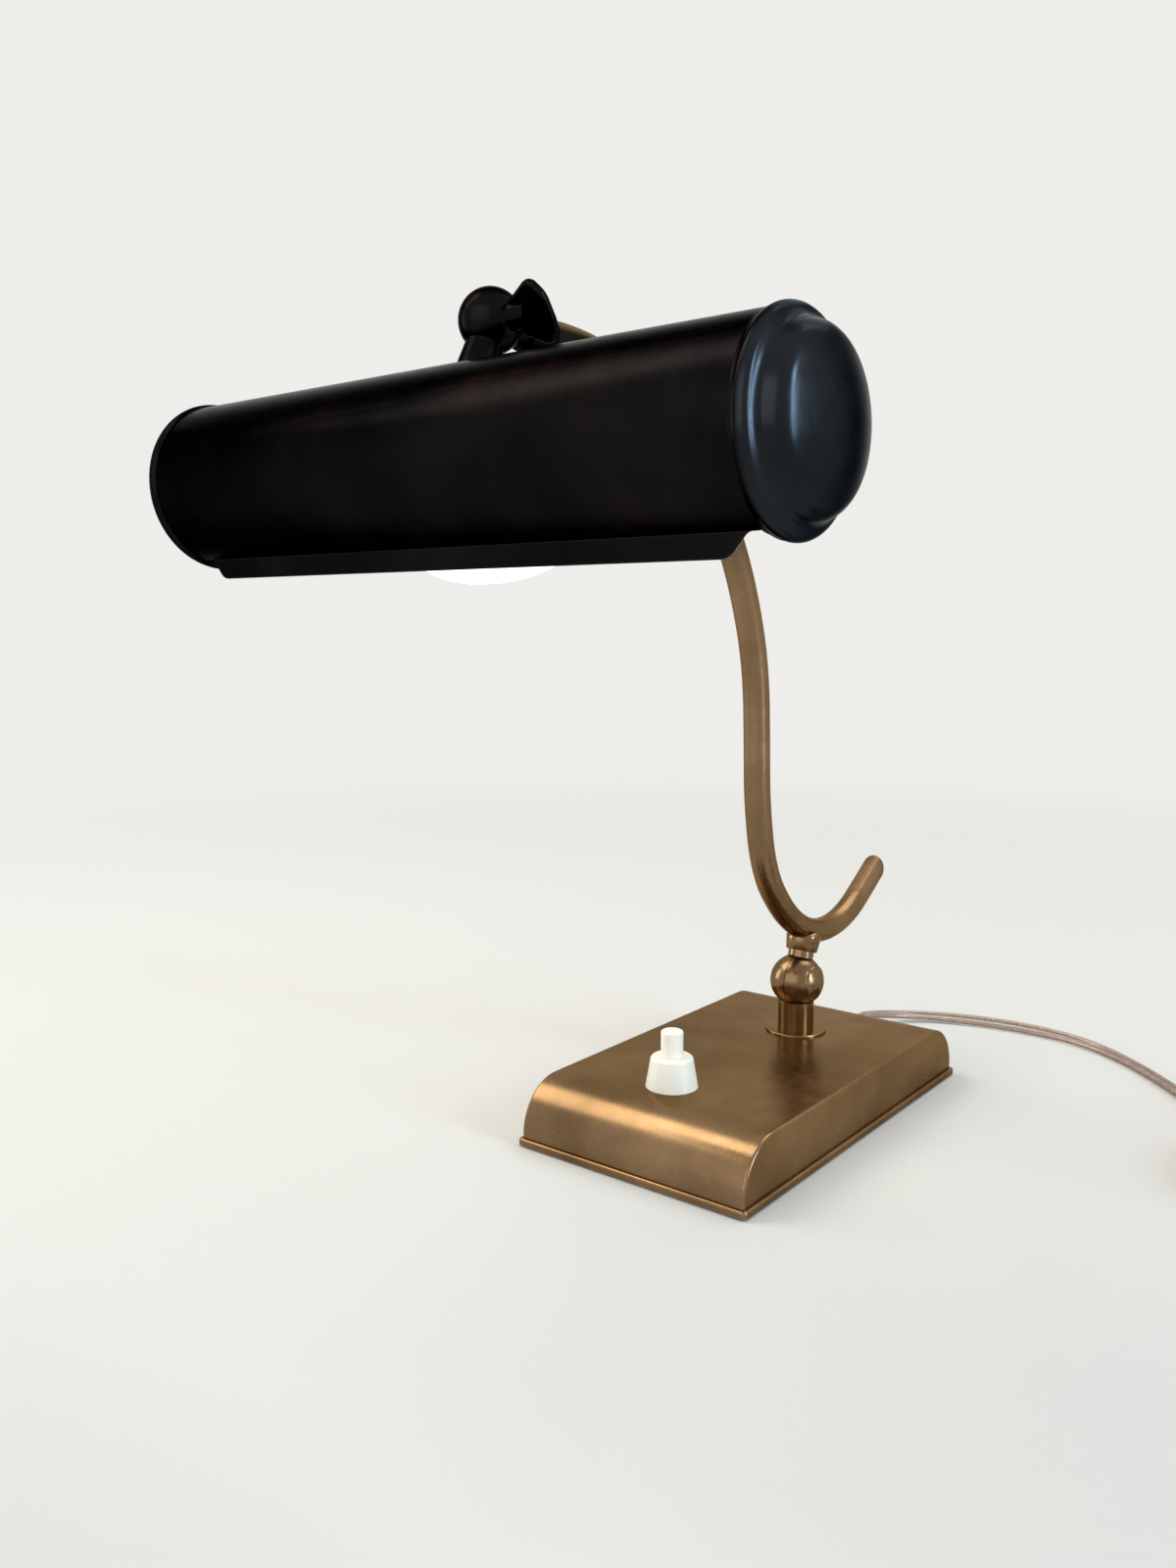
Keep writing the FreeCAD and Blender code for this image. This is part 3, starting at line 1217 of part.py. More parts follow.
def make_cord_bush():
    """A tapered strain relief with a flange that seats on the inside of the cover."""
    centre = Vector(CORD_EXIT_X, INNER_HALF_Y - BUSH_FLANGE_THICK, CORD_EXIT_Z)
    flange = rod(BUSH_FLANGE_RADIUS, centre, Y_AXIS, FAR).common(cover_inside())
    wall = COVER_WALL + BUSH_FLANGE_THICK
    sleeve = rod(BUSH_RADIUS, centre, Y_AXIS, wall)
    taper = cone(BUSH_RADIUS, BUSH_TIP_RADIUS, centre + Y_AXIS * wall, Y_AXIS, BUSH_LENGTH)
    bush = flange.fuse(sleeve).fuse(taper).removeSplitter()
    for k in range(BUSH_GROOVES):
        share = (k + 1) / (BUSH_GROOVES + 1)
        start = centre + Y_AXIS * (wall + share * BUSH_LENGTH)
        inner = BUSH_RADIUS - (BUSH_RADIUS - BUSH_TIP_RADIUS) * share - BUSH_GROOVE_DEPTH
        bush = bush.cut(ring(BUSH_RADIUS + 1, inner, start, Y_AXIS, BUSH_GROOVE_WIDTH))
    bore = rod(CORD_RADIUS + FIT_GAP, centre - Y_AXIS, Y_AXIS, FAR)
    return bush.cut(bore)


def make_inner_lead():
    points = [
        bush_tip(),
        Vector(CORD_EXIT_X, TERMINAL_Y, CORD_EXIT_Z),
        Vector(TERMINAL_X - TERMINAL_LENGTH / 2, TERMINAL_Y, CORD_EXIT_Z),
    ]
    return flex(points, CORD_RADIUS, "inner_lead")


def make_cord_clamp():
    """A strap over the flex, with two feet on the plate."""
    foot_z = PLATE_TOP
    outer = CORD_RADIUS + CLAMP_WALL
    centre = Vector(CLAMP_X, TERMINAL_Y, CORD_EXIT_Z)
    arch = rod(outer, centre, X_AXIS, CLAMP_LENGTH)
    end_x = CLAMP_X + CLAMP_LENGTH
    legs = box(CLAMP_X, end_x, TERMINAL_Y - outer, TERMINAL_Y + outer, foot_z, CORD_EXIT_Z)
    reach = CLAMP_FOOT + CLAMP_SCREW_HEAD_RADIUS + 0.5
    feet = box(CLAMP_X, end_x, TERMINAL_Y - reach, TERMINAL_Y + reach, foot_z, foot_z + CLAMP_WALL)
    inside = rod(CORD_RADIUS + FIT_GAP, centre - X_AXIS, X_AXIS, CLAMP_LENGTH + 2)
    well = box(
        CLAMP_X - 1, end_x + 1, TERMINAL_Y - CORD_RADIUS, TERMINAL_Y + CORD_RADIUS, foot_z - 1, CORD_EXIT_Z
    )
    clamp = arch.fuse(legs).fuse(feet).cut(inside).cut(well)
    for place in clamp_screw_places():
        clamp = clamp.cut(rod(CLAMP_SCREW_RADIUS + FIT_GAP, place, Z_AXIS, foot_z + CLAMP_WALL + 1))
    return clamp.removeSplitter()


def clamp_screw_places():
    return [Vector(CLAMP_X + CLAMP_LENGTH / 2, TERMINAL_Y + side * CLAMP_FOOT, 0) for side in (-1, 1)]


def make_cord_clamp_screws():
    screws = []
    for place in clamp_screw_places():
        length = PLATE_THICK + CLAMP_WALL
        tip = place + Z_AXIS * FELT_THICK
        screws.append(slotted_screw(
            tip, Z_AXIS, CLAMP_SCREW_RADIUS, length, CLAMP_SCREW_HEAD_RADIUS, CLAMP_SCREW_HEAD_HEIGHT
        ))
    return Part.makeCompound(screws)


def make_terminal_block():
    half_x, half_y = TERMINAL_LENGTH / 2, TERMINAL_DEPTH / 2
    top = PLATE_TOP + TERMINAL_HEIGHT
    block = box(
        TERMINAL_X - half_x, TERMINAL_X + half_x, TERMINAL_Y - half_y, TERMINAL_Y + half_y, PLATE_TOP, top
    )
    for side in (-1, 1):
        place = Vector(TERMINAL_X + side * TERMINAL_HOLE_SPACING / 2, TERMINAL_Y, top - TERMINAL_HOLE_DEPTH)
        block = block.cut(rod(TERMINAL_HOLE_RADIUS, place, Z_AXIS, FAR))
    return block


def make_base_leads():
    """Two switch leads and the pair that goes up the stem."""
    front = TERMINAL_Y - TERMINAL_DEPTH / 2
    tab_z = COVER_UNDERSIDE - SWITCH_BODY_LENGTH - TAB_LENGTH
    leads = []
    for side, lane in zip((-1, 1), SWITCH_LEAD_LANES):
        x = SWITCH_X + side * TAB_OFFSET
        ahead = SWITCH_Y + SWITCH_LEAD_AHEAD - side * SWITCH_LEAD_STAGGER
        points = [
            Vector(lane, front, LEAD_Z),
            Vector(lane, ahead + SWITCH_LEAD_TURN, LEAD_Z),
            Vector(x + SWITCH_LEAD_SIDE, ahead, LEAD_Z),
            Vector(x, SWITCH_Y, tab_z - LEAD_RADIUS),
        ]
        leads.append(flex(points, LEAD_RADIUS, "switch_lead")[0])
    stem_points = [
        Vector(STEM_LEAD_LANE, front, LEAD_Z),
        Vector(STEM_LEAD_LANE, STEM_Y + STEM_LEAD_TURN, LEAD_Z),
        Vector(STEM_LEAD_SIDE, STEM_Y, LEAD_Z),
        Vector(0, STEM_Y, LEAD_Z - STEM_LEAD_DIP),
        Vector(0, STEM_Y, nut_seat()),
    ]
    leads.append(flex(stem_points, STEM_LEAD_RADIUS, "stem_lead")[0])
    return Part.makeCompound(leads)


def coil_place(turn):
    """The coil's middle line at a turn angle, in radians from its start, and its direction there."""
    layer = 2 * math.pi * COIL_LAYER_TURNS
    step = COIL_PITCH / (2 * math.pi)
    reversal = layer + math.pi / 2
    radius = COIL_OUTER_RADIUS - step * reversal + step * abs(turn - reversal)
    share = min(1.0, max(0.0, (turn - layer) / math.pi))
    z = COIL_Z + COIL_PITCH * (1 - math.cos(math.pi * share)) / 2
    climb = COIL_PITCH * math.sin(math.pi * share) / 2
    slope = 0.0
    if 0.1 < turn < reversal - 0.1:
        slope = -step
    elif reversal + 0.1 < turn < 2 * reversal - 0.1:
        slope = step
    angle = math.pi + turn
    out = Vector(math.cos(angle), math.sin(angle), 0)
    around = Vector(-math.sin(angle), math.cos(angle), 0)
    way = (around * radius + out * slope + Z_AXIS * climb).normalize()
    return Vector(COIL_X, COIL_Y, z) + out * radius, way


def make_cord_coil():
    """Two layers: in below, a climb of half a turn, and out again above, as one unbroken tube."""
    halves = 4 * COIL_LAYER_TURNS + 1
    places = [coil_place(k * math.pi) for k in range(halves + 1)]
    start, end = places[0], places[-1]
    edges = [line(start[0] - start[1] * CORD_LEAD, start[0])]
    for k in range(halves):
        if k == 2 * COIL_LAYER_TURNS:
            middle = coil_place((k + 0.5) * math.pi)
            edges += two_arcs(*places[k], *middle) + two_arcs(*middle, *places[k + 1])
        else:
            edges += two_arcs(*places[k], *places[k + 1])
    edges.append(line(end[0], end[0] + end[1] * CORD_LEAD))
    first = start[0] - start[1] * CORD_LEAD
    solid = swept(edges, circle_wire(first, start[1], CORD_RADIUS))
    length = sum(e.Length for e in edges)
    share = solid.Volume / (math.pi * CORD_RADIUS ** 2 * length)
    print("cord_coil: length %.1f, volume over section times length %.4f" % (length, share))
    print("cord_coil: least gap to itself %.2f" % least_gap(edges, CORD_RADIUS))
    return solid, length, first, end[0] + end[1] * CORD_LEAD


def least_gap(edges, radius):
    """The least gap between stretches of a tube that are more than a third of a turn apart."""
    points, distances, far = [], [], 0.0
    for edge in edges:
        steps = max(2, int(edge.Length / 4))
        span = edge.LastParameter - edge.FirstParameter
        for k in range(steps):
            points.append(edge.valueAt(edge.FirstParameter + span * k / steps))
            distances.append(far + edge.Length * k / steps)
        far += edge.Length
    apart = 2 * math.pi * COIL_OUTER_RADIUS / 3
    best = 1e9
    for i, p in enumerate(points):
        for j in range(i + 1, len(points)):
            if distances[j] - distances[i] > apart:
                best = min(best, (points[j] - p).Length)
    return best - 2 * radius


def make_cord_run(coil_start):
    points = [bush_tip()] + [Vector(*p) for p in CORD_ROUTE] + [coil_start]
    return flex(points, CORD_RADIUS, "cord_run")


def plug_face(coil_end):
    """Where the flex enters the plug's sleeve."""
    return Vector(coil_end.x, coil_end.y + 3 * CORD_TAIL_RUN + 4.0, PLUG_AXIS_Z)


def make_cord_tail(coil_end):
    entry = plug_face(coil_end)
    points = [
        coil_end,
        coil_end + Y_AXIS * CORD_TAIL_RUN,
        entry - Y_AXIS * CORD_TAIL_RUN,
        entry,
    ]
    return flex(points, CORD_RADIUS, "cord_tail")


def make_cord_tie():
    """A flat strap round the coil's bundle."""
    turn = math.radians(TIE_ANGLE)
    out = Vector(math.cos(turn), math.sin(turn), 0)
    around = Vector(-math.sin(turn), math.cos(turn), 0)
    middle = Vector(COIL_X, COIL_Y, 0)
    clear = CORD_RADIUS + TIE_GAP
    spots = [coil_place(turn - math.pi + 2 * math.pi * k)[0] for k in range(2 * COIL_LAYER_TURNS + 1)]
    near = min((spot - middle).dot(out) for spot in spots) - clear
    far = max((spot - middle).dot(out) for spot in spots) + clear
    low = min(spot.z for spot in spots) - clear
    high = max(spot.z for spot in spots) + clear
    centre = middle - around * (TIE_WIDTH / 2)

    def loop(grow, radius):
        corners = [
            (centre + out * (near - grow) + Z_AXIS * (low - grow), radius),
            (centre + out * (far + grow) + Z_AXIS * (low - grow), radius),
            (centre + out * (far + grow) + Z_AXIS * (high + grow), radius),
            (centre + out * (near - grow) + Z_AXIS * (high + grow), radius),
        ]
        return Part.Face(rounded_outline(corners)).extrude(around * TIE_WIDTH)

    return loop(TIE_THICK, CORD_RADIUS / 2 + TIE_THICK).cut(loop(0, CORD_RADIUS / 2))


def make_plug_body(entry):
    """A flat two-pin plug, lying on its side, with a narrowed back."""
    start = entry + Y_AXIS * PLUG_SLEEVE_LENGTH
    half, neck, low = PLUG_WIDTH / 2, PLUG_NECK_WIDTH / 2, PLUG_AXIS_Z - PLUG_THICK / 2
    y0, y1 = start.y, start.y + PLUG_LENGTH
    shoulder = y0 + PLUG_SHOULDER
    corners = [
        (Vector(start.x - neck, y0, low), PLUG_CORNER / 2),
        (Vector(start.x + neck, y0, low), PLUG_CORNER / 2),
        (Vector(start.x + half, shoulder, low), PLUG_CORNER),
        (Vector(start.x + half, y1, low), PLUG_CORNER / 2),
        (Vector(start.x - half, y1, low), PLUG_CORNER / 2),
        (Vector(start.x - half, shoulder, low), PLUG_CORNER),
    ]
    body = Part.Face(rounded_outline(corners)).extrude(Z_AXIS * PLUG_THICK)
    flat_edges = [e for e in body.Edges if e.BoundBox.ZLength < 1e-6]
    body = body.makeFillet(PLUG_ROUND, flat_edges)
    for pin in pin_starts(entry):
        body = body.cut(rod(PIN_RADIUS + FIT_GAP, pin, Y_AXIS, PIN_IN_PLUG + 1))
    return body


def pin_starts(entry):
    y = entry.y + PLUG_SLEEVE_LENGTH + PLUG_LENGTH - PIN_IN_PLUG
    return [Vector(entry.x + side * PIN_SPACING / 2, y, PLUG_AXIS_Z) for side in (-1, 1)]


def make_plug_pins(entry):
    pins = []
    for start in pin_starts(entry):
        pin = rod(PIN_RADIUS, start, Y_AXIS, PIN_IN_PLUG + PIN_LENGTH)
        end_y = start.y + PIN_IN_PLUG + PIN_LENGTH
        tip = [e for e in pin.Edges if e.BoundBox.YMin > end_y - 1e-6]
        pins.append(pin.makeFillet(PIN_ROUND, tip))
    return Part.makeCompound(pins)


def make_plug_sleeve(entry):
    sleeve = cone(PLUG_SLEEVE_TIP_RADIUS, PLUG_SLEEVE_RADIUS, entry, Y_AXIS, PLUG_SLEEVE_LENGTH)
    return sleeve.cut(rod(CORD_RADIUS + FIT_GAP, entry - Y_AXIS, Y_AXIS, PLUG_SLEEVE_LENGTH - 4))


# Assembly


def make_all():
    """Every piece under its name."""
    outside = make_arm_outside()
    coil, coil_length, coil_start, coil_end = make_cord_coil()
    run, run_length = make_cord_run(coil_start)
    tail, tail_length = make_cord_tail(coil_end)
    inner, inner_length = make_inner_lead()
    print("flex from the bush to the plug: %.0f" % (coil_length + run_length + tail_length))
    print("arm: volume %.0f, length %.0f" % (outside.Volume, sum(e.Length for e in arm_edges(0))))
    entry = plug_face(coil_end)
    lower_reach = LOWER_BALL_RADIUS - BALL_WALL
    return {
        "base_cover": make_base_cover(),
        "base_ballast": make_base_ballast(),
        "base_plate": make_base_plate(),
        "base_felt": make_base_felt(),
        "base_plate_screws": make_base_plate_screws(),
        "terminal_block": make_terminal_block(),
        "base_leads": make_base_leads(),
        "inner_lead": inner,
        "cord_clamp": make_cord_clamp(),
        "cord_clamp_screws": make_cord_clamp_screws(),
        "cord_bush": make_cord_bush(),
        "switch_body": make_switch_body(),
        "switch_tabs": make_switch_tabs(),
        "switch_collar": make_switch_collar(),
        "switch_button": make_switch_button(),
        "switch_spring": make_switch_spring(),
        "stem_washer": make_stem_washer(),
        "stem_knuckle": make_stem(),
        "stem_nipple": make_stem_nipple(),
        "stem_spring_washer": make_stem_spring_washer(),
        "stem_nut": make_stem_nut(),
        "lower_friction_washer": friction_washer(LOWER_BALL, -1),
        "lower_knuckle_screw": knuckle_screw(LOWER_BALL, LOWER_BALL_RADIUS, 1, lower_reach),
        "arm_knuckle": make_arm_knuckle(outside),
        "arm_foot": make_arm_foot(outside),
        "arm": make_arm(outside),
        "arm_wire": arm_sweep(PLACES_BEFORE_WIRE_COUNT, ARM_WIRE_RADIUS),
        "head_ferrule": make_head_ferrule(outside),
        "head_knuckle": make_head_knuckle(),
        "wing_nut": make_wing_nut(),
        "upper_friction_washer": friction_washer(UPPER_BALL, -1),
        "upper_knuckle_screw": knuckle_screw(UPPER_BALL, UPPER_BALL_RADIUS, -1, KNUCKLE_SCREW_OUT),
        "shade_knuckle": make_shade_knuckle(),
        "shade_tube": make_shade_tube(),
        "left_end_cap": make_end_cap(-1),
        "right_end_cap": make_end_cap(1),
        "neck_nipple": make_neck_nipple(),
        "neck_saddle": make_neck_saddle(),
        "neck_nut": make_neck_nut(),
        "holder_bracket": make_holder_bracket(),
        "holder_nipple": make_holder_nipple(),
        "holder_nut": make_holder_nut(),
        "lamp_holder": make_lamp_holder(),
        "holder_insert": make_holder_insert(),
        "bulb_cap": make_bulb_cap(),
        "bulb_glass": make_bulb_glass(),
        "shade_lead": make_shade_lead(),
        "cord_run": run,
        "cord_coil": coil,
        "cord_tail": tail,
        "cord_tie": make_cord_tie(),
        "plug_sleeve": make_plug_sleeve(entry),
        "plug_body": make_plug_body(entry),
        "plug_pins": make_plug_pins(entry),
    }


os.makedirs("parts", exist_ok=True)
for name, shape in make_all().items():
    shape.exportStep("parts/" + name + ".step")
    print("%-22s solids %d, valid %s, volume %.1f" % (name, len(shape.Solids), shape.isValid(), shape.Volume))
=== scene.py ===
"""A brass desk lamp.

It has a tubular shade, a swan-neck arm between two ball knuckles, a weighted base, a push switch
and a clear twin flex.
"""

import math

import bmesh
import bpy
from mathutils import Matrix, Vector
from mathutils.bvhtree import BVHTree


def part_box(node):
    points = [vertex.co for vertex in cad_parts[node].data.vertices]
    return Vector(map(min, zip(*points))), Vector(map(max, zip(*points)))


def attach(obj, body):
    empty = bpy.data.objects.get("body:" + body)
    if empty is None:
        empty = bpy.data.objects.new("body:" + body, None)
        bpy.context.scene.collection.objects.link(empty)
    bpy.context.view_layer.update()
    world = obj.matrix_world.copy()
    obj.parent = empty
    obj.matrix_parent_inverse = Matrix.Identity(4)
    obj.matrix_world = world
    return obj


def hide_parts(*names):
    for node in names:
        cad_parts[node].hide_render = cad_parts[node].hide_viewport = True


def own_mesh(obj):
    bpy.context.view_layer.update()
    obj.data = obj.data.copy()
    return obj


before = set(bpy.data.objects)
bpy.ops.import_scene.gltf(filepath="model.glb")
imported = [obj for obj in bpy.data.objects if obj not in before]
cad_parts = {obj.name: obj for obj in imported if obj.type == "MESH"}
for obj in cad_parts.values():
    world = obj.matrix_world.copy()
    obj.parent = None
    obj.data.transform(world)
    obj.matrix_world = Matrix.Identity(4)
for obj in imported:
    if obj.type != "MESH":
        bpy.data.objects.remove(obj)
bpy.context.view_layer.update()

# Lengths are in millimetres, apart from those with MM in them and those said to be in metres
MM = 0.001

# Camera, fitted to the photograph: place in metres, angles in degrees
CAMERA_PLACE = (0.2715, -0.4611, 0.2109)
CAMERA_DOWN = 7.187
CAMERA_TURN = 38.27
CAMERA_LENS = 28.68
CAMERA_SENSOR = 36.0
CAMERA_NEAR = 10 * MM

# Flex: a clear twin, as wide as its solid's tube, lying flat where it is free and on edge in the
# coil. The coil has two layers of turns, and one step between turns and between layers
LOBE_RADIUS = 1.5 * MM
LOBE_APART = 1.5 * MM
LOBE_SIDES = 12
WEB_ANGLE = math.radians(28)
CORE_RADIUS = 0.78 * MM
WIRE_SIDES = 10
BUSH_TIP = (-8.0, 115.7, 8.5)
FREE_ROUTE = [
    (-8.3, 124.0, 8.4),
    (-9.0, 133.5, 7.4),
    (1.5, 159.5, 3.0),
    (30.0, 171.8, 2.75),
    (62.0, 176.6, 2.75),
    (92.0, 174.0, 2.1),
    (118.5, 157.5, 1.7),
    (142.5, 133.5, 1.8),
    (165.0, 109.5, 2.4),
    (172.2, 86.5, 3.4),
    (172.2, 64.0, 3.7),
]
COIL_CENTRE = (217.0, 58.0)
COIL_OUTER = 44.8
COIL_STEP = 6.5
COIL_TURNS = 3
COIL_LOW = 3.7
COIL_POINTS = 16
TAIL_ROUTE = [
    (261.8, 64.0, 10.2),
    (261.8, 76.0, 10.0),
    (261.8, 92.0, 7.0),
    (261.8, 104.0, 6.85),
]
CURVE_ORDER = 3
CURVE_STEPS = 12
LEAST_STEP = 0.4 * MM

# How the flex lies: on edge near the coil's centre, flat from a distance on, and with its broad
# side turned up towards the front along the middle of its free run
FLAT_FROM = 75
EDGE_BLEND = 27
TWIST_MIDDLE = (48.0, 174.0)
TWIST_REACH = 78.0
TWIST_MOST = math.radians(58)

# Shade: its axis as (y, z), and what parts its inside from its outside. The bore's inside is
# within a radius, and the skirt's is behind a face and below a height, both taken from the axis
SHADE_AXIS = (-181.9, 260.3)
SHADE_PARTING = 27.3
SKIRT_FACE = -9.3
SKIRT_TOP = -25.0

# End caps, as (distance from the lamp's middle, distance from the shade's axis)
CAP_SLEEVE = ((111.8, 26.58), (111.8, 27.18), (116.82, 27.18), (116.82, 28.02))
CAP_LAP = ((114.1, 28.02), (114.1, 28.3), (114.25, 28.37))
CAP_SEAT = ((118.6, 23.7), (118.6, 26.58))
CAP_WALL = 0.8
BEAD_CENTRE = (116.6, 26.1)
BEAD_RADIUS = 2.8
BEAD_FROM, BEAD_TO = math.radians(125.9), math.radians(20)
BEAD_STEPS = 14
COVE = ((119.231, 27.058), (119.744, 25.648), (120.571, 24.582), (121.65, 24.37))
COVE_STEPS = 8
SHOULDER_CENTRE = (120.3, 17.5)
SHOULDER_RADIUS = 7.0
SHOULDER_FROM, SHOULDER_TO = math.radians(78.9), math.radians(23.3)
SHOULDER_STEPS = 8
DOME_CENTRE = (79.6, 0.0)
DOME_RADIUS = 51.3
DOME_STEPS = 14
INNER_DOME_STEPS = 10

# Lower knuckle: the screw's domed head covers the end of the ball
KNUCKLE_CENTRE = (0.0, 38.3, 49.3)
KNUCKLE_RADIUS = 12.0
HEAD_PROUD = 0.45
HEAD_SPREAD = math.radians(39)
HEAD_EDGE = 0.35
HEAD_RINGS = 14

# Foot between the lower knuckle's neck and the arm. Distances along the neck are from the ball's centre
NECK_ANGLE = math.radians(73.0)
NECK_RADIUS = 5.85
ARM_RADIUS = 5.65
FOOT_START = 13.6
FOOT_RADIUS = 7.1
FOOT_CHAMFER = 0.2
FOOT_LEAST_HEIGHT = 0.6
FOOT_WIDE_AT = 22.8
FOOT_WIDE_RADIUS = 7.9
FOOT_TOP_SHARE = 0.97
FOOT_SHOULDER = 1.0
FOOT_SINK = 0.4
FOOT_RINGS = 8
FOOT_BORE_SHARE = 0.9

# Pieces made of rings: the points in a ring, the distance in metres within which points are one,
# and the angle from which an edge shows
RING_SIDES = 96
WELD = 1e-6
SHARP_FROM = math.radians(40)

# Switch's spring
SPRING_WIRE_RADIUS = 0.35
SPRING_MEAN_RADIUS = 2.55
SPRING_TURNS = 5
SPRING_POINTS = 24

# Floor and background: distances in metres, from where the floor starts to fade to where it is
# all background
FADE_START = 0.25
FADE_END = 1.35
FLOOR_HALF = 8.0
FLOOR_COLOUR = (0.72, 0.71, 0.69, 1.0)
FLOOR_ROUGHNESS = 0.7
PALE = (0.86, 0.85, 0.83, 1.0)
SOFT_COLOUR = (1.0, 0.98, 0.95, 1.0)
SOFT_STRENGTH = 0.35

# Lamps: place and size in metres, power in watts, colour
LAMPS_TARGET = (0, -0.05, 0.15)
LAMPS = {
    "key": ((-0.95, -0.35, 1.35), (0.9, 0.9), 12.5, (1.0, 0.93, 0.77)),
    "side": ((2.4, 0.18, 0.85), (0.34, 1.6), 40, (0.60, 0.82, 1.0)),
    "left": ((-2.2, -0.85, 0.65), (0.6, 1.2), 16, (0.60, 0.82, 1.0)),
    "front": ((0.1, -1.6, 0.7), (1.7, 1.3), 8, (1.0, 0.98, 0.95)),
    "top": ((0.1, 0.8, 1.4), (1.0, 0.8), 8, (1.0, 0.97, 0.93)),
}

# The numbers of a colour Mix node's sockets, whose names are shared with its other kinds
MIX_SHARE, MIX_FIRST, MIX_SECOND, MIX_RESULT = 0, 6, 7, 2

# The part of a noise's values that most of its points are in, and its denser core
NOISE_RANGE = (0.3, 0.7)
NOISE_CORE = (0.35, 0.65)

# Aged metal: where in the clouds each colour lies, which values of a noise are specks and pricks
# and how much these show, and the cosines of the bevel's turn at which wear starts and is full
PATINA_PLACES = (0.30, 0.50, 0.72)
SPECKS, SPECKS_MOST, SPECKS_LIGHT = (0.71, 0.77), 0.4, 0.35
PRICKS, PRICKS_MOST = (0.79, 0.82), 0.5
WORN_COSINES = (0.985, 0.80)
BEVEL_SAMPLES = 4
EDGE_WEAR = 0.5
GRAIN_SHARE = 0.5
SPUN_RINGS = 1600


def metres(point):
    return Vector(point) * MM


def held(share):
    """A share kept from 0 to 1."""
    return min(1.0, max(0.0, share))


def eased(share):
    """A share kept from 0 to 1, with a soft start and end."""
    share = held(share)
    return share * share * (3 - 2 * share)


def near(middle, reach):
    """A range round a value."""
    return middle - reach, middle + reach


def placed(name, data):
    """A new object in the scene."""
    made = bpy.data.objects.new(name, data)
    bpy.context.scene.collection.objects.link(made)
    return made


# Colours


def rgb(red, green, blue):
    """A colour as seen on a screen, 0 to 255, in the linear values that shaders take, by the sRGB curve."""
    def linear(value):
        value /= 255
        return value / 12.92 if value <= 0.04045 else ((value + 0.055) / 1.055) ** 2.4
    return (linear(red), linear(green), linear(blue), 1.0)


def dimmed(colour, share):
    """A colour with a share of its light."""
    return (*(share * c for c in colour[:3]), 1.0)


DARK_GRAZING = (0.42, 0.42, 0.42, 1.0)
DARK_COLOURS = (rgb(13, 13, 15), rgb(19, 19, 20), rgb(29, 27, 26))
DARK_EDGE = rgb(54, 48, 44)
DARK_ROUGHNESS = (0.18, 0.30)
SHADE_COLOURS = (rgb(14, 14, 15), rgb(20, 19, 20), rgb(28, 25, 24))
# End caps: near-black bronze made lighter and bluer than the tube, a painted bluish reflection
CAP_PAINTED_SHEEN_COLOURS = (rgb(30, 33, 37), rgb(38, 42, 46), rgb(48, 51, 53))
BRONZE_GRAZING = (0.62, 0.56, 0.48, 1.0)
BRONZE_COLOURS = (rgb(110, 87, 62), rgb(127, 101, 73), rgb(146, 118, 87))
BRONZE_EDGE = rgb(168, 138, 102)
ENAMEL_COLOUR = rgb(236, 228, 206)
GLOW_DIM, GLOW_FULL = rgb(255, 214, 150), rgb(255, 250, 238)
COPPER_DARK, COPPER_LIGHT = rgb(120, 84, 66), rgb(206, 168, 144)

# Painted shade, where a metal is painted darker towards one end: the axis, the distances from the
# origin in metres at which that starts and is full, and the colour it turns to
# The arm's top end near the head is painted dark: painted shade
ARM_HEAD_PAINTED_SHADE = ("Z", 0.225, 0.272, rgb(30, 27, 26))
# The back of each cap's bead and its lap are painted as dark as the tube: a painted dark reflection
CAP_BACK_PAINTED_SHADE = ("X", 117.6 * MM, 116.0 * MM, SHADE_COLOURS[1])


# Materials


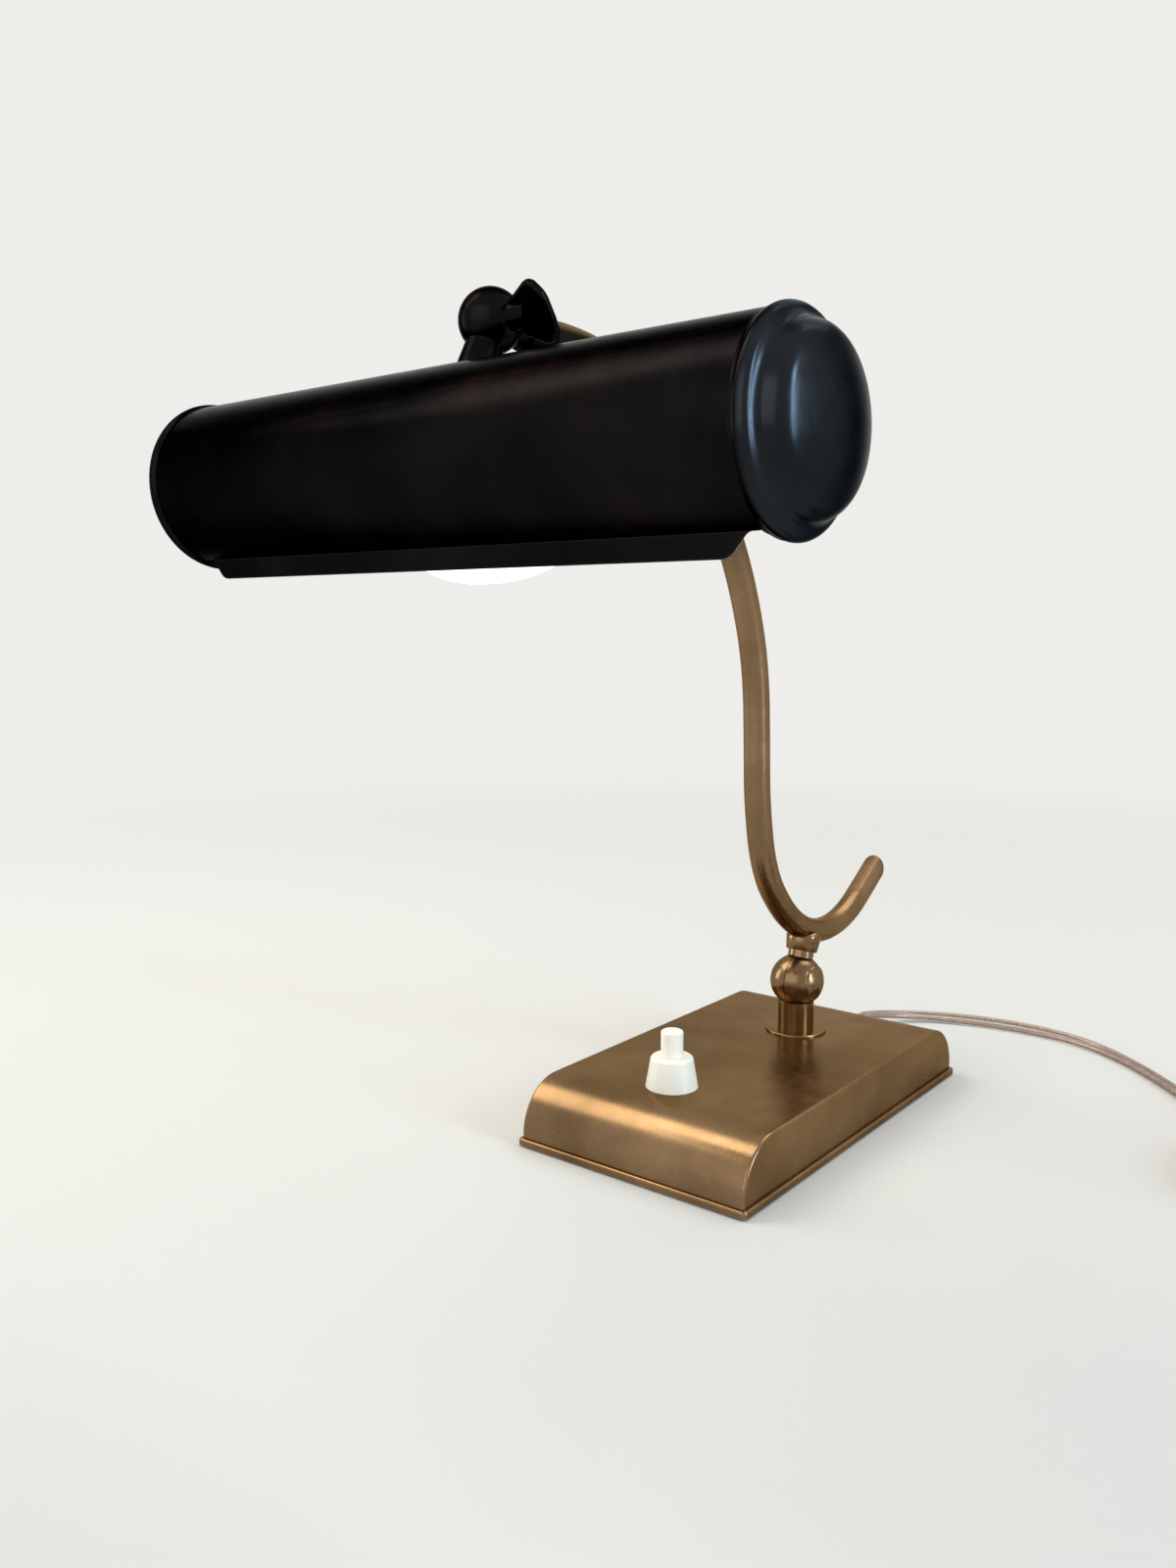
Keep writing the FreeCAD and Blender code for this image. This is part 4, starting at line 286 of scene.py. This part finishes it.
class Nodes:
    """A node tree that is being built. A value is a constant or the output of another node."""

    def __init__(self, tree):
        self.tree = tree

    def found(self, kind):
        """The first node whose type starts with these words."""
        return next(node for node in self.tree.nodes if node.type.startswith(kind))

    def feed(self, node, values):
        """Gives a node's inputs their values, by name or number."""
        for key, value in values.items():
            if isinstance(value, bpy.types.NodeSocket):
                self.tree.links.new(value, node.inputs[key])
            else:
                node.inputs[key].default_value = value

    def add(self, kind, values=None, **settings):
        """A new node with its settings and its inputs' values."""
        node = self.tree.nodes.new("ShaderNode" + kind)
        for key, value in settings.items():
            setattr(node, key, value)
        self.feed(node, values or {})
        return node

    def number(self, operation, *values):
        """A sum on numbers."""
        return self.add("Math", dict(enumerate(values)), operation=operation).outputs[0]

    def vector(self, operation, *values):
        """A sum on vectors. It gives the node, whose vector and whose number are two outputs."""
        return self.add("VectorMath", dict(enumerate(values)), operation=operation)

    def place(self):
        """Object coordinates."""
        return self.add("TexCoord").outputs["Object"]

    def stretched(self, scale=(1, 1, 1)):
        """Object coordinates, scaled by axis for streaks that run along one way."""
        return self.add("Mapping", {"Vector": self.place(), "Scale": scale}).outputs["Vector"]

    def off_axis(self, scale=1):
        """The way from the shade's axis, square to it and scaled, and its length."""
        offset = self.vector("SUBTRACT", self.place(), metres((0, *SHADE_AXIS))).outputs[0]
        square = self.vector("MULTIPLY", offset, (0, scale, scale)).outputs[0]
        return square, self.vector("LENGTH", square).outputs["Value"]

    def spun(self, scale):
        """Coordinates that change only with the distance from the shade's axis, for a spun surface."""
        length = self.off_axis(scale)[1]
        return self.add("CombineXYZ", {"X": length}).outputs[0]

    def noise(self, vector, scale, detail=4.0, roughness=0.55):
        values = {"Vector": vector, "Scale": scale, "Detail": detail, "Roughness": roughness}
        return self.add("TexNoise", values).outputs["Fac"]

    def span(self, value, source, target=(0.0, 1.0), **settings):
        """A value moved from one range to another, and held at its ends."""
        ends = {"From Min": source[0], "From Max": source[1], "To Min": target[0], "To Max": target[1]}
        return self.add("MapRange", {"Value": value, **ends}, **settings).outputs["Result"]

    def ramp(self, share, stops):
        """A colour ramp with these (place, colour) stops."""
        made = self.add("ValToRGB", {"Fac": share})
        points = made.color_ramp.elements
        points[0].position, points[0].color = stops[0]
        points[1].position, points[1].color = stops[-1]
        for place, colour in stops[1:-1]:
            points.new(place).color = colour
        return made.outputs["Color"]

    def mixed(self, share, first, second):
        """Two colours, mixed by a share."""
        values = {MIX_SHARE: share, MIX_FIRST: first, MIX_SECOND: second}
        return self.add("Mix", values, data_type="RGBA").outputs[MIX_RESULT]

    def bump(self, height, strength, distance):
        """A normal that follows small heights."""
        values = {"Height": height, "Strength": strength, "Distance": distance}
        return self.add("Bump", values).outputs["Normal"]

    def worn_edges(self, radius):
        """1 along edges and 0 on open faces, from a bevelled normal against the real one."""
        bevelled = self.add("Bevel", {"Radius": radius}, samples=BEVEL_SAMPLES).outputs["Normal"]
        real = self.add("NewGeometry").outputs["Normal"]
        return self.span(self.vector("DOT_PRODUCT", bevelled, real).outputs["Value"], WORN_COSINES)

    def with_painted_shade(self, colour, axis, start, full, dark):
        """A colour that turns to a darker one along an axis, between two distances from the origin: painted
        shade.
        """
        parts = self.add("SeparateXYZ", {"Vector": self.stretched()})
        distance = self.number("ABSOLUTE", parts.outputs[axis])
        return self.mixed(self.span(distance, (start, full)), colour, dark)

    def seen_rays(self):
        """1 for rays that show the background: to the camera, mirrored, or through something clear."""
        rays = self.add("LightPath").outputs
        seen = rays["Is Camera Ray"]
        for kind in ("Is Glossy Ray", "Is Transmission Ray"):
            seen = self.number("MAXIMUM", seen, rays[kind])
        return seen

    def surface(self, share, first, second):
        """The surface shows one shader, mixed by a share with another."""
        mix = self.add("MixShader", {0: share, 1: first.outputs[0], 2: second.outputs[0]})
        self.feed(self.found("OUTPUT"), {"Surface": mix.outputs[0]})


def fresh_material(name):
    """A material with only its shader and output, given with its nodes and the shader."""
    material = bpy.data.materials.new(name)
    material.use_nodes = True
    nodes = Nodes(material.node_tree)
    return material, nodes, nodes.found("BSDF_PRINCIPLED")


def aged_metal(name, colours, streaks, roughness, grazing, edge, edge_radius, painted_shade=None):
    """Satin metal: clouds of patina, finishing lines, dark specks, pale pricks, worn edges and any painted
    shade.
    """
    material, nodes, shader = fresh_material(name)
    dark, light = colours[0], colours[-1]
    plain = nodes.stretched()
    lines = nodes.spun(SPUN_RINGS) if streaks == "spun" else nodes.stretched(streaks)
    clouds = nodes.noise(plain, scale=22, detail=5)
    colour = nodes.ramp(clouds, list(zip(PATINA_PLACES, colours)))
    specks = nodes.noise(plain, scale=420, detail=2, roughness=0.5)
    colour = nodes.mixed(nodes.span(specks, SPECKS, (0.0, SPECKS_MOST)), colour, dimmed(dark, SPECKS_LIGHT))
    pricks = nodes.noise(plain, scale=950, detail=1, roughness=0.4)
    colour = nodes.mixed(nodes.span(pricks, PRICKS, (0.0, PRICKS_MOST)), colour, light)
    worn = nodes.mixed(EDGE_WEAR, colour, edge)
    colour = nodes.mixed(nodes.worn_edges(edge_radius), colour, worn)
    # Painted shade along an axis, where one is given
    if painted_shade:
        colour = nodes.with_painted_shade(colour, *painted_shade)
    brushing = nodes.noise(lines, scale=1.0, detail=3, roughness=0.7)
    grain = nodes.noise(plain, scale=160, detail=3)
    nodes.feed(shader, {
        "Base Color": colour,
        "Roughness": nodes.span(nodes.mixed(GRAIN_SHARE, brushing, grain), NOISE_RANGE, roughness),
        "Normal": nodes.bump(brushing, strength=0.10, distance=0.06 * MM),
        "Metallic": 1.0,
        "Specular Tint": grazing,
    })
    return material


def shade_metal(name):
    """The shade's tube: near-black bronze outside, a cream enamel inside."""
    material = aged_metal(
        name, SHADE_COLOURS, streaks=(40, 1400, 1400), roughness=DARK_ROUGHNESS, grazing=DARK_GRAZING,
        edge=DARK_EDGE, edge_radius=0.8 * MM,
    )
    nodes = Nodes(material.node_tree)
    bronze = nodes.found("BSDF_PRINCIPLED")
    enamel = nodes.add("BsdfPrincipled", {"Base Color": ENAMEL_COLOUR, "Roughness": 0.38})
    square, distance = nodes.off_axis()
    parts = nodes.add("SeparateXYZ", {"Vector": square}).outputs
    behind = nodes.number("GREATER_THAN", parts["Y"], SKIRT_FACE * MM)
    below = nodes.number("LESS_THAN", parts["Z"], SKIRT_TOP * MM)
    bore = nodes.number("LESS_THAN", distance, SHADE_PARTING * MM)
    inside = nodes.number("MAXIMUM", bore, nodes.number("MULTIPLY", behind, below))
    nodes.surface(inside, bronze, enamel)
    return material


def plain_metal(name, colour, roughness, streaks=(900, 900, 90)):
    """Clean metal with faint streaks."""
    material, nodes, shader = fresh_material(name)
    lines = nodes.noise(nodes.stretched(streaks), scale=1.0, detail=3, roughness=0.6)
    spread = nodes.noise(nodes.stretched(), scale=90, detail=3)
    nodes.feed(shader, {
        "Base Color": nodes.mixed(nodes.span(spread, NOISE_CORE), dimmed(colour, share=0.72), colour),
        "Roughness": nodes.span(lines, NOISE_RANGE, near(roughness, reach=0.08)),
        "Normal": nodes.bump(lines, strength=0.12, distance=0.05 * MM),
        "Metallic": 1.0,
    })
    return material


def moulding(name, colour, roughness, coat=0.0, mottle=0.06):
    """A moulded plastic: a hint of mottle, a fine orange-peel surface."""
    material, nodes, shader = fresh_material(name)
    plain = nodes.stretched()
    cloud = nodes.span(nodes.noise(plain, scale=140, detail=4), NOISE_CORE)
    peel = nodes.noise(plain, scale=900, detail=2)
    nodes.feed(shader, {
        "Base Color": nodes.mixed(cloud, dimmed(colour, share=1 - mottle), colour),
        "Roughness": nodes.span(peel, NOISE_RANGE, near(roughness, reach=0.05)),
        "Normal": nodes.bump(peel, strength=0.04, distance=0.04 * MM),
        "Coat Weight": coat,
    })
    return material


def felt_cloth(name, colour):
    """Matted wool fibres."""
    material, nodes, shader = fresh_material(name)
    fibres = nodes.noise(nodes.stretched(), scale=1400, detail=6, roughness=0.75)
    nodes.feed(shader, {
        "Base Color": nodes.mixed(nodes.span(fibres, NOISE_RANGE), dimmed(colour, share=0.45), colour),
        "Roughness": 0.95,
        "Sheen Weight": 0.4,
        "Normal": nodes.bump(fibres, strength=0.5, distance=0.3 * MM),
    })
    return material


def lit_glass(name):
    """A frosted lamp that glows: warm white, dimmer towards its neck."""
    material, nodes, shader = fresh_material(name)
    place = nodes.place()
    parts = nodes.add("SeparateXYZ", {"Vector": place}).outputs
    along = nodes.span(parts["X"], source=(-39 * MM, -5 * MM), target=(0.35, 1.0))
    grain = nodes.span(nodes.noise(place, scale=60, detail=4), NOISE_RANGE, target=(0.96, 1.0))
    nodes.feed(shader, {
        "Emission Color": nodes.mixed(nodes.number("MULTIPLY", along, grain), GLOW_DIM, GLOW_FULL),
        "Emission Strength": 1.6,
        "Base Color": rgb(250, 246, 236),
        "Roughness": 0.35,
    })
    return material


def clear_jacket(name):
    """Clear insulation, faintly hazed, over the strands."""
    material, nodes, shader = fresh_material(name)
    haze = nodes.noise(nodes.stretched(), scale=700, detail=3)
    nodes.feed(shader, {
        "Roughness": nodes.span(haze, NOISE_RANGE, target=(0.10, 0.22)),
        "Base Color": rgb(242, 240, 238),
        "Transmission Weight": 0.90,
        "IOR": 1.42,
    })
    return material


def stranded_copper(name):
    """Fine copper strands."""
    material, nodes, shader = fresh_material(name)
    strands = nodes.noise(nodes.stretched((1500, 1500, 1500)), scale=1.0, detail=2, roughness=0.6)
    nodes.feed(shader, {
        "Base Color": nodes.mixed(nodes.span(strands, NOISE_CORE), COPPER_DARK, COPPER_LIGHT),
        "Metallic": 1.0,
        "Roughness": 0.34,
        "Normal": nodes.bump(strands, strength=0.4, distance=0.1 * MM),
    })
    return material


def bronze(name, streaks, roughness, edge_radius, painted_shade=None):
    return aged_metal(
        name, BRONZE_COLOURS, streaks, roughness, BRONZE_GRAZING, BRONZE_EDGE, edge_radius, painted_shade
    )


bronze_turned = bronze(
    "bronze_turned", streaks=(60, 60, 1800), roughness=(0.19, 0.29), edge_radius=0.4 * MM
)
# The end caps' metal: its lighter, bluer tone is a painted reflection, and its back is painted shade
dark_cap = aged_metal(
    "dark_cap", CAP_PAINTED_SHEEN_COLOURS, streaks="spun", roughness=(0.16, 0.31), grazing=DARK_GRAZING,
    edge=CAP_PAINTED_SHEEN_COLOURS[2], edge_radius=0.5 * MM, painted_shade=CAP_BACK_PAINTED_SHADE,
)
spring_wire = plain_metal("spring_wire", rgb(160, 162, 168), roughness=0.25)

# Each material with the nodes that it dresses. Nodes that another piece stands for aren't among them
DRESS = (
    (
        bronze("bronze_base", streaks=(1500, 60, 1500), roughness=(0.20, 0.31), edge_radius=0.8 * MM),
        "base_cover",
    ),
    (bronze_turned, "stem_washer", "stem_knuckle", "arm_knuckle"),
    (
        # The arm, whose top end is painted dark as painted shade
        bronze(
            "bronze_arm", streaks=(60, 900, 300), roughness=(0.20, 0.31), edge_radius=0.5 * MM,
            painted_shade=ARM_HEAD_PAINTED_SHADE,
        ),
        "arm",
    ),
    (
        aged_metal(
            "dark_turned", DARK_COLOURS, streaks=(1200, 60, 60), roughness=DARK_ROUGHNESS,
            grazing=DARK_GRAZING, edge=DARK_EDGE, edge_radius=0.4 * MM,
        ),
        "head_ferrule", "head_knuckle", "wing_nut", "upper_knuckle_screw", "shade_knuckle",
    ),
    (shade_metal("dark_shade"), "shade_tube"),
    (
        plain_metal("bright_brass", rgb(206, 172, 104), roughness=0.30),
        "stem_nipple", "stem_nut", "neck_nipple", "neck_nut", "holder_nipple", "holder_nut",
        "bulb_cap", "lamp_holder",
    ),
    (
        plain_metal("plated_steel", rgb(176, 178, 182), roughness=0.34),
        "base_plate", "base_plate_screws", "cord_clamp", "cord_clamp_screws", "stem_spring_washer",
        "neck_saddle", "holder_bracket", "switch_tabs", "plug_pins",
    ),
    (plain_metal("cast_iron", rgb(74, 74, 76), roughness=0.62, streaks=(300, 300, 300)), "base_ballast"),
    (
        moulding("white_switch", rgb(252, 247, 233), roughness=0.34, coat=0.25, mottle=0.03),
        "switch_collar", "switch_button",
    ),
    (
        moulding("white_plug", rgb(234, 230, 218), roughness=0.36, coat=0.2),
        "plug_body", "plug_sleeve", "cord_bush",
    ),
    (
        moulding("phenolic", rgb(52, 36, 28), roughness=0.4, coat=0.3, mottle=0.3),
        "switch_body", "terminal_block", "holder_insert", "cord_tie",
    ),
    (
        moulding("red_fibre", rgb(150, 62, 44), roughness=0.75, mottle=0.3),
        "lower_friction_washer", "upper_friction_washer",
    ),
    (
        moulding("lead_skin", rgb(206, 198, 184), roughness=0.5),
        "arm_wire", "base_leads", "shade_lead", "inner_lead",
    ),
    (felt_cloth("green_felt", rgb(44, 82, 56)), "base_felt"),
    (lit_glass("lit_glass"), "bulb_glass"),
)


def dress_nodes():
    for material, *names in DRESS:
        for name in names:
            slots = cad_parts[name].data.materials
            slots.clear()
            slots.append(material)


# Flex


def coil_points():
    """The coil's turns: in along the first layer, up over half a turn, and out along the second."""
    layer = 2 * math.pi * COIL_TURNS
    reversal = layer + math.pi / 2
    total = 2 * layer + math.pi
    rate = COIL_STEP / (2 * math.pi)
    count = int(COIL_POINTS * total / (2 * math.pi))
    points = []
    for k in range(count + 1):
        turn = total * k / count
        radius = COIL_OUTER - rate * reversal + rate * abs(turn - reversal)
        climb = held((turn - layer) / math.pi)
        angle = math.pi + turn
        points.append((
            COIL_CENTRE[0] + radius * math.cos(angle),
            COIL_CENTRE[1] + radius * math.sin(angle),
            COIL_LOW + COIL_STEP * (1 - math.cos(math.pi * climb)) / 2,
        ))
    return points


def flex_line():
    """The flex's centreline as a NURBS curve through the route, the coil and the tail."""
    route = [BUSH_TIP] + FREE_ROUTE + coil_points() + TAIL_ROUTE
    curve = bpy.data.curves.new("flex_line", "CURVE")
    curve.dimensions = "3D"
    spline = curve.splines.new("NURBS")
    spline.points.add(len(route) - 1)
    for point, place in zip(spline.points, route):
        point.co = (*metres(place), 1.0)
    spline.order_u = CURVE_ORDER
    spline.use_endpoint_u = True
    spline.resolution_u = CURVE_STEPS
    return placed("flex_line", curve)


def line_places(line):
    """The points of the curve's own line, as the dependency graph gives them. The curve goes."""
    bpy.context.view_layer.update()
    graph = bpy.context.evaluated_depsgraph_get()
    mesh = bpy.data.meshes.new_from_object(line.evaluated_get(graph))
    places = [v.co.copy() for v in mesh.vertices]
    bpy.data.meshes.remove(mesh)
    bpy.data.objects.remove(line)
    kept = [places[0]]
    for place in places[1:]:
        if (place - kept[-1]).length > LEAST_STEP:
            kept.append(place)
    return kept


def flex_ways(places):
    """At each place: the way along, and the way across the flex's width."""
    ways = []
    coil_centre = metres((*COIL_CENTRE, 0))
    twist_middle = metres((*TWIST_MIDDLE, 0))
    last = len(places) - 1
    for k, place in enumerate(places):
        along = (places[min(k + 1, last)] - places[max(k - 1, 0)]).normalized()
        level = Vector((along.y, -along.x, 0)).normalized()
        upright = level.cross(along).normalized()
        on_floor = Vector((place.x, place.y, 0))
        on_edge = eased((FLAT_FROM * MM - (on_floor - coil_centre).length) / (EDGE_BLEND * MM))
        twist = max(0.0, 1 - ((on_floor - twist_middle).length / (TWIST_REACH * MM)) ** 2) ** 2
        angle = on_edge * math.pi / 2 - twist * TWIST_MOST
        ways.append((along, level * math.cos(angle) + upright * math.sin(angle)))
    return ways


def swept_tube(name, places, ways, outline):
    """A closed tube: the outline's (across, through) points set square to the way along at each place."""
    vertices, faces = [], []
    count = len(outline)
    for place, (along, across) in zip(places, ways):
        through = along.cross(across)
        vertices += [place + across * a + through * t for a, t in outline]
    for k in range(len(places) - 1):
        for j in range(count):
            a, b = k * count + j, k * count + (j + 1) % count
            faces.append((a, b, b + count, a + count))
    faces.append(tuple(reversed(range(count))))
    faces.append(tuple(range((len(places) - 1) * count, len(places) * count)))
    mesh = bpy.data.meshes.new(name)
    mesh.from_pydata([tuple(v) for v in vertices], [], faces)
    mesh.validate()
    mesh.update()
    for polygon in mesh.polygons:
        polygon.use_smooth = len(polygon.vertices) == 4
    return placed(name, mesh)


def twin_outline():
    """Two round lobes side by side, joined by a thin web."""
    points = []
    for side in (1, -1):
        for j in range(LOBE_SIDES):
            sweep = -math.pi + WEB_ANGLE + (2 * math.pi - 2 * WEB_ANGLE) * j / (LOBE_SIDES - 1)
            angle = sweep if side > 0 else sweep + math.pi
            points.append((
                side * LOBE_APART + LOBE_RADIUS * math.cos(angle),
                LOBE_RADIUS * math.sin(angle),
            ))
    return points


def wire_outline(radius, offset=0.0):
    """A round wire, set off across the width."""
    turns = [2 * math.pi * j / WIRE_SIDES for j in range(WIRE_SIDES)]
    return [(offset + radius * math.cos(t), radius * math.sin(t)) for t in turns]


def make_flex():
    places = line_places(flex_line())
    ways = flex_ways(places)
    jacket = swept_tube("flex_jacket", places, ways, twin_outline())
    jacket.data.materials.append(clear_jacket("clear_jacket"))
    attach(jacket, "base")
    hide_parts("cord_run", "cord_coil", "cord_tail")
    copper = stranded_copper("stranded_copper")
    for side, name in ((-1, "flex_core_left"), (1, "flex_core_right")):
        core = swept_tube(name, places, ways, wire_outline(CORE_RADIUS, side * LOBE_APART))
        core.data.materials.append(copper)
        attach(core, "base")


# Pieces made of rings: the knuckle screw's head, the arm's foot and the end caps


def ring_shell(name, rings, material, node, body):
    """A closed smooth piece from rings of points, in place of a node. The last ring joins the first."""
    count = len(rings[0])
    faces = []
    for k in range(len(rings)):
        ahead = (k + 1) % len(rings)
        for j in range(count):
            beside = (j + 1) % count
            faces.append((k * count + j, ahead * count + j, ahead * count + beside, k * count + beside))
    mesh = bpy.data.meshes.new(name)
    mesh.from_pydata([tuple(point) for ring in rings for point in ring], [], faces)
    shape = bmesh.new()
    shape.from_mesh(mesh)
    bmesh.ops.remove_doubles(shape, verts=shape.verts, dist=WELD)
    bmesh.ops.recalc_face_normals(shape, faces=shape.faces)
    shape.to_mesh(mesh)
    shape.free()
    mesh.shade_smooth()
    mesh.set_sharp_from_angle(angle=SHARP_FROM)
    mesh.materials.append(material)
    piece = placed(name, mesh)
    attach(piece, body)
    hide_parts(node)


def around(centre, way, beside, along, radius):
    """A ring of points round a line, at a distance along it."""
    other = way.cross(beside)
    turns = [2 * math.pi * j / RING_SIDES for j in range(RING_SIDES)]
    return [centre + way * along + (beside * math.cos(t) + other * math.sin(t)) * radius for t in turns]


def make_screw_head():
    """The knuckle screw's broad domed head: a shell that follows the ball's end, with a rounded rim."""
    outer = KNUCKLE_RADIUS + HEAD_PROUD
    inner = KNUCKLE_RADIUS - HEAD_PROUD
    spread = HEAD_SPREAD + HEAD_EDGE / outer
    rim = spread + HEAD_EDGE / outer
    profile = [(outer, HEAD_SPREAD * k / HEAD_RINGS) for k in range(HEAD_RINGS + 1)]
    profile += [(outer - HEAD_EDGE / 3, spread), (outer - HEAD_EDGE, rim), (inner, rim), (inner, 0.0)]
    centre = metres(KNUCKLE_CENTRE)
    way, beside = Vector((1, 0, 0)), Vector((0, 1, 0))
    rings = [
        around(centre, way, beside, reach * math.cos(angle) * MM, reach * math.sin(angle) * MM)
        for reach, angle in profile
    ]
    ring_shell("lower_screw_head", rings, bronze_turned, "lower_knuckle_screw", "arm")


def make_arm_foot():
    """The foot under the arm: a flared collar round the neck, closed onto the arm's underside."""
    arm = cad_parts["arm"].data
    surface = BVHTree.FromPolygons([v.co for v in arm.vertices], [tuple(p.vertices) for p in arm.polygons])
    centre = metres(KNUCKLE_CENTRE)
    way = Vector((0, math.cos(NECK_ANGLE), math.sin(NECK_ANGLE)))
    beside = Vector((1, 0, 0))
    lower_rim = (
        (FOOT_START, NECK_RADIUS),
        (FOOT_START, FOOT_RADIUS - FOOT_CHAMFER),
        (FOOT_START + FOOT_CHAMFER, FOOT_RADIUS),
    )
    low = [around(centre, way, beside, along * MM, radius * MM) for along, radius in lower_rim]
    wide = around(centre, way, beside, 0, FOOT_WIDE_RADIUS * MM)
    starts, meets = [], []
    for point in wide:
        offset = point - centre
        offset.x *= FOOT_TOP_SHARE * ARM_RADIUS / FOOT_WIDE_RADIUS
        hit = surface.ray_cast(centre + offset, way)[0]
        meets.append(hit + way * FOOT_SINK * MM)
        height = min(FOOT_WIDE_AT * MM, (hit - centre).dot(way) - FOOT_SHOULDER * MM)
        starts.append(point + way * max(height, (FOOT_START + FOOT_LEAST_HEIGHT) * MM))
    shoulder = []
    for k in range(FOOT_RINGS + 1):
        turn = math.pi / 2 * k / FOOT_RINGS
        ring = []
        for start, meet in zip(starts, meets):
            rise = (meet - start).dot(way)
            level = meet - start - way * rise
            ring.append(start + level * (1 - math.cos(turn)) + way * rise * math.sin(turn))
        shoulder.append(ring)
    bore_share = FOOT_BORE_SHARE * NECK_RADIUS / FOOT_WIDE_RADIUS
    inner = [
        centre + way * (meet - centre).dot(way) + (point - centre) * bore_share
        for point, meet in zip(wide, meets)
    ]
    ring_shell("arm_foot_collar", low + shoulder + [inner], bronze_turned, "arm_foot", "arm")


def arc(centre, radius, first, last, steps):
    turns = [first + (last - first) * k / steps for k in range(steps + 1)]
    return [(centre[0] + radius * math.cos(t), centre[1] + radius * math.sin(t)) for t in turns]


def cove_points():
    """The points between the ends of a curve from the bead's face out into the dome's side."""
    points = []
    for k in range(1, COVE_STEPS):
        t = k / COVE_STEPS
        shares = ((1 - t) ** 3, 3 * t * (1 - t) ** 2, 3 * t * t * (1 - t), t ** 3)
        points.append(tuple(sum(s * p[axis] for s, p in zip(shares, COVE)) for axis in (0, 1)))
    return points


def make_end_cap(side):
    """A spun cap: a sleeve in the tube, a lap over its end, a bead, a soft cove and a hollow dome."""
    inner_shoulder, inner_dome = SHOULDER_RADIUS - CAP_WALL, DOME_RADIUS - CAP_WALL
    profile = [*CAP_SLEEVE, *CAP_LAP]
    profile += arc(BEAD_CENTRE, BEAD_RADIUS, BEAD_FROM, BEAD_TO, BEAD_STEPS) + cove_points()
    profile += arc(SHOULDER_CENTRE, SHOULDER_RADIUS, SHOULDER_FROM, SHOULDER_TO, SHOULDER_STEPS)
    profile += arc(DOME_CENTRE, DOME_RADIUS, SHOULDER_TO, 0, DOME_STEPS)[1:]
    profile += arc(DOME_CENTRE, inner_dome, 0, SHOULDER_TO, INNER_DOME_STEPS)
    profile += arc(SHOULDER_CENTRE, inner_shoulder, SHOULDER_TO, math.pi / 2, SHOULDER_STEPS)[1:]
    profile += CAP_SEAT
    centre = metres((0, *SHADE_AXIS))
    way, beside = Vector((side, 0, 0)), Vector((0, 1, 0))
    rings = [around(centre, way, beside, along * MM, radius * MM) for along, radius in profile]
    end = "right" if side > 0 else "left"
    ring_shell(end + "_cap_shell", rings, dark_cap, end + "_end_cap", "shade")


# Switch


def make_switch_spring():
    """The switch's spring: a coil that stands on its seat, in place of its node."""
    low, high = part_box("switch_spring")
    middle = (low + high) / 2
    bottom, top = low.z + SPRING_WIRE_RADIUS * MM, high.z - SPRING_WIRE_RADIUS * MM
    radius = SPRING_MEAN_RADIUS * MM
    pitch = (top - bottom) / (2 * math.pi * SPRING_TURNS)
    count = SPRING_TURNS * SPRING_POINTS
    places, ways = [], []
    for k in range(count + 1):
        share = k / count
        turn = 2 * math.pi * SPRING_TURNS * share
        out = Vector((math.cos(turn), math.sin(turn), 0))
        places.append(Vector((middle.x, middle.y, bottom + (top - bottom) * share)) + out * radius)
        ways.append((Vector((-out.y, out.x, pitch / radius)).normalized(), out))
    spring = swept_tube("switch_coil_spring", places, ways, wire_outline(SPRING_WIRE_RADIUS * MM))
    spring.data.materials.append(spring_wire)
    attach(spring, "base")
    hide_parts("switch_spring")
    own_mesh(spring)


# Room, lights and camera


def make_floor():
    """A pale floor that keeps the lamp's shadow and fades into the background with distance."""
    mesh = bpy.data.meshes.new("floor")
    corners = [(x * FLOOR_HALF, y * FLOOR_HALF, 0) for x, y in ((-1, -1), (1, -1), (1, 1), (-1, 1))]
    mesh.from_pydata(corners, [], [(0, 1, 2, 3)])
    floor = placed("floor", mesh)
    material, nodes, shader = fresh_material("pale_floor")
    nodes.feed(shader, {"Base Color": FLOOR_COLOUR, "Roughness": FLOOR_ROUGHNESS})
    distance = nodes.vector("LENGTH", nodes.place()).outputs["Value"]
    far = nodes.span(distance, (FADE_START, FADE_END), interpolation_type="SMOOTHSTEP")
    background = nodes.add("Emission", {"Color": PALE})
    nodes.surface(nodes.number("MULTIPLY", far, nodes.seen_rays()), shader, background)
    floor.data.materials.append(material)


def make_world():
    """Soft even light, and a pale background for the camera, for reflections and through the clear flex."""
    world = bpy.data.worlds.new("studio")
    bpy.context.scene.world = world
    world.use_nodes = True
    world.node_tree.nodes.clear()
    nodes = Nodes(world.node_tree)
    nodes.add("OutputWorld")
    soft = nodes.add("Background", {"Color": SOFT_COLOUR, "Strength": SOFT_STRENGTH})
    pale = nodes.add("Background", {"Color": PALE, "Strength": 1.0})
    nodes.surface(nodes.seen_rays(), soft, pale)


def make_lights():
    for name, (place, size, power, colour) in LAMPS.items():
        light = bpy.data.lights.new(name, "AREA")
        light.shape = "RECTANGLE"
        light.size, light.size_y = size
        light.energy = power
        light.color = colour
        lamp = placed(name, light)
        lamp.location = place
        lamp.rotation_euler = (Vector(LAMPS_TARGET) - Vector(place)).to_track_quat("-Z", "Y").to_euler()


def make_camera():
    data = bpy.data.cameras.new("camera")
    data.lens = CAMERA_LENS
    data.sensor_width = CAMERA_SENSOR
    data.clip_start = CAMERA_NEAR
    camera = placed("camera", data)
    camera.location = CAMERA_PLACE
    camera.rotation_euler = (math.radians(90 - CAMERA_DOWN), 0, math.radians(CAMERA_TURN))
    bpy.context.scene.camera = camera


dress_nodes()
make_flex()
make_screw_head()
make_arm_foot()
make_end_cap(-1)
make_end_cap(1)
make_switch_spring()
make_floor()
make_world()
make_lights()
make_camera()
bpy.context.scene.view_settings.view_transform = "Standard"
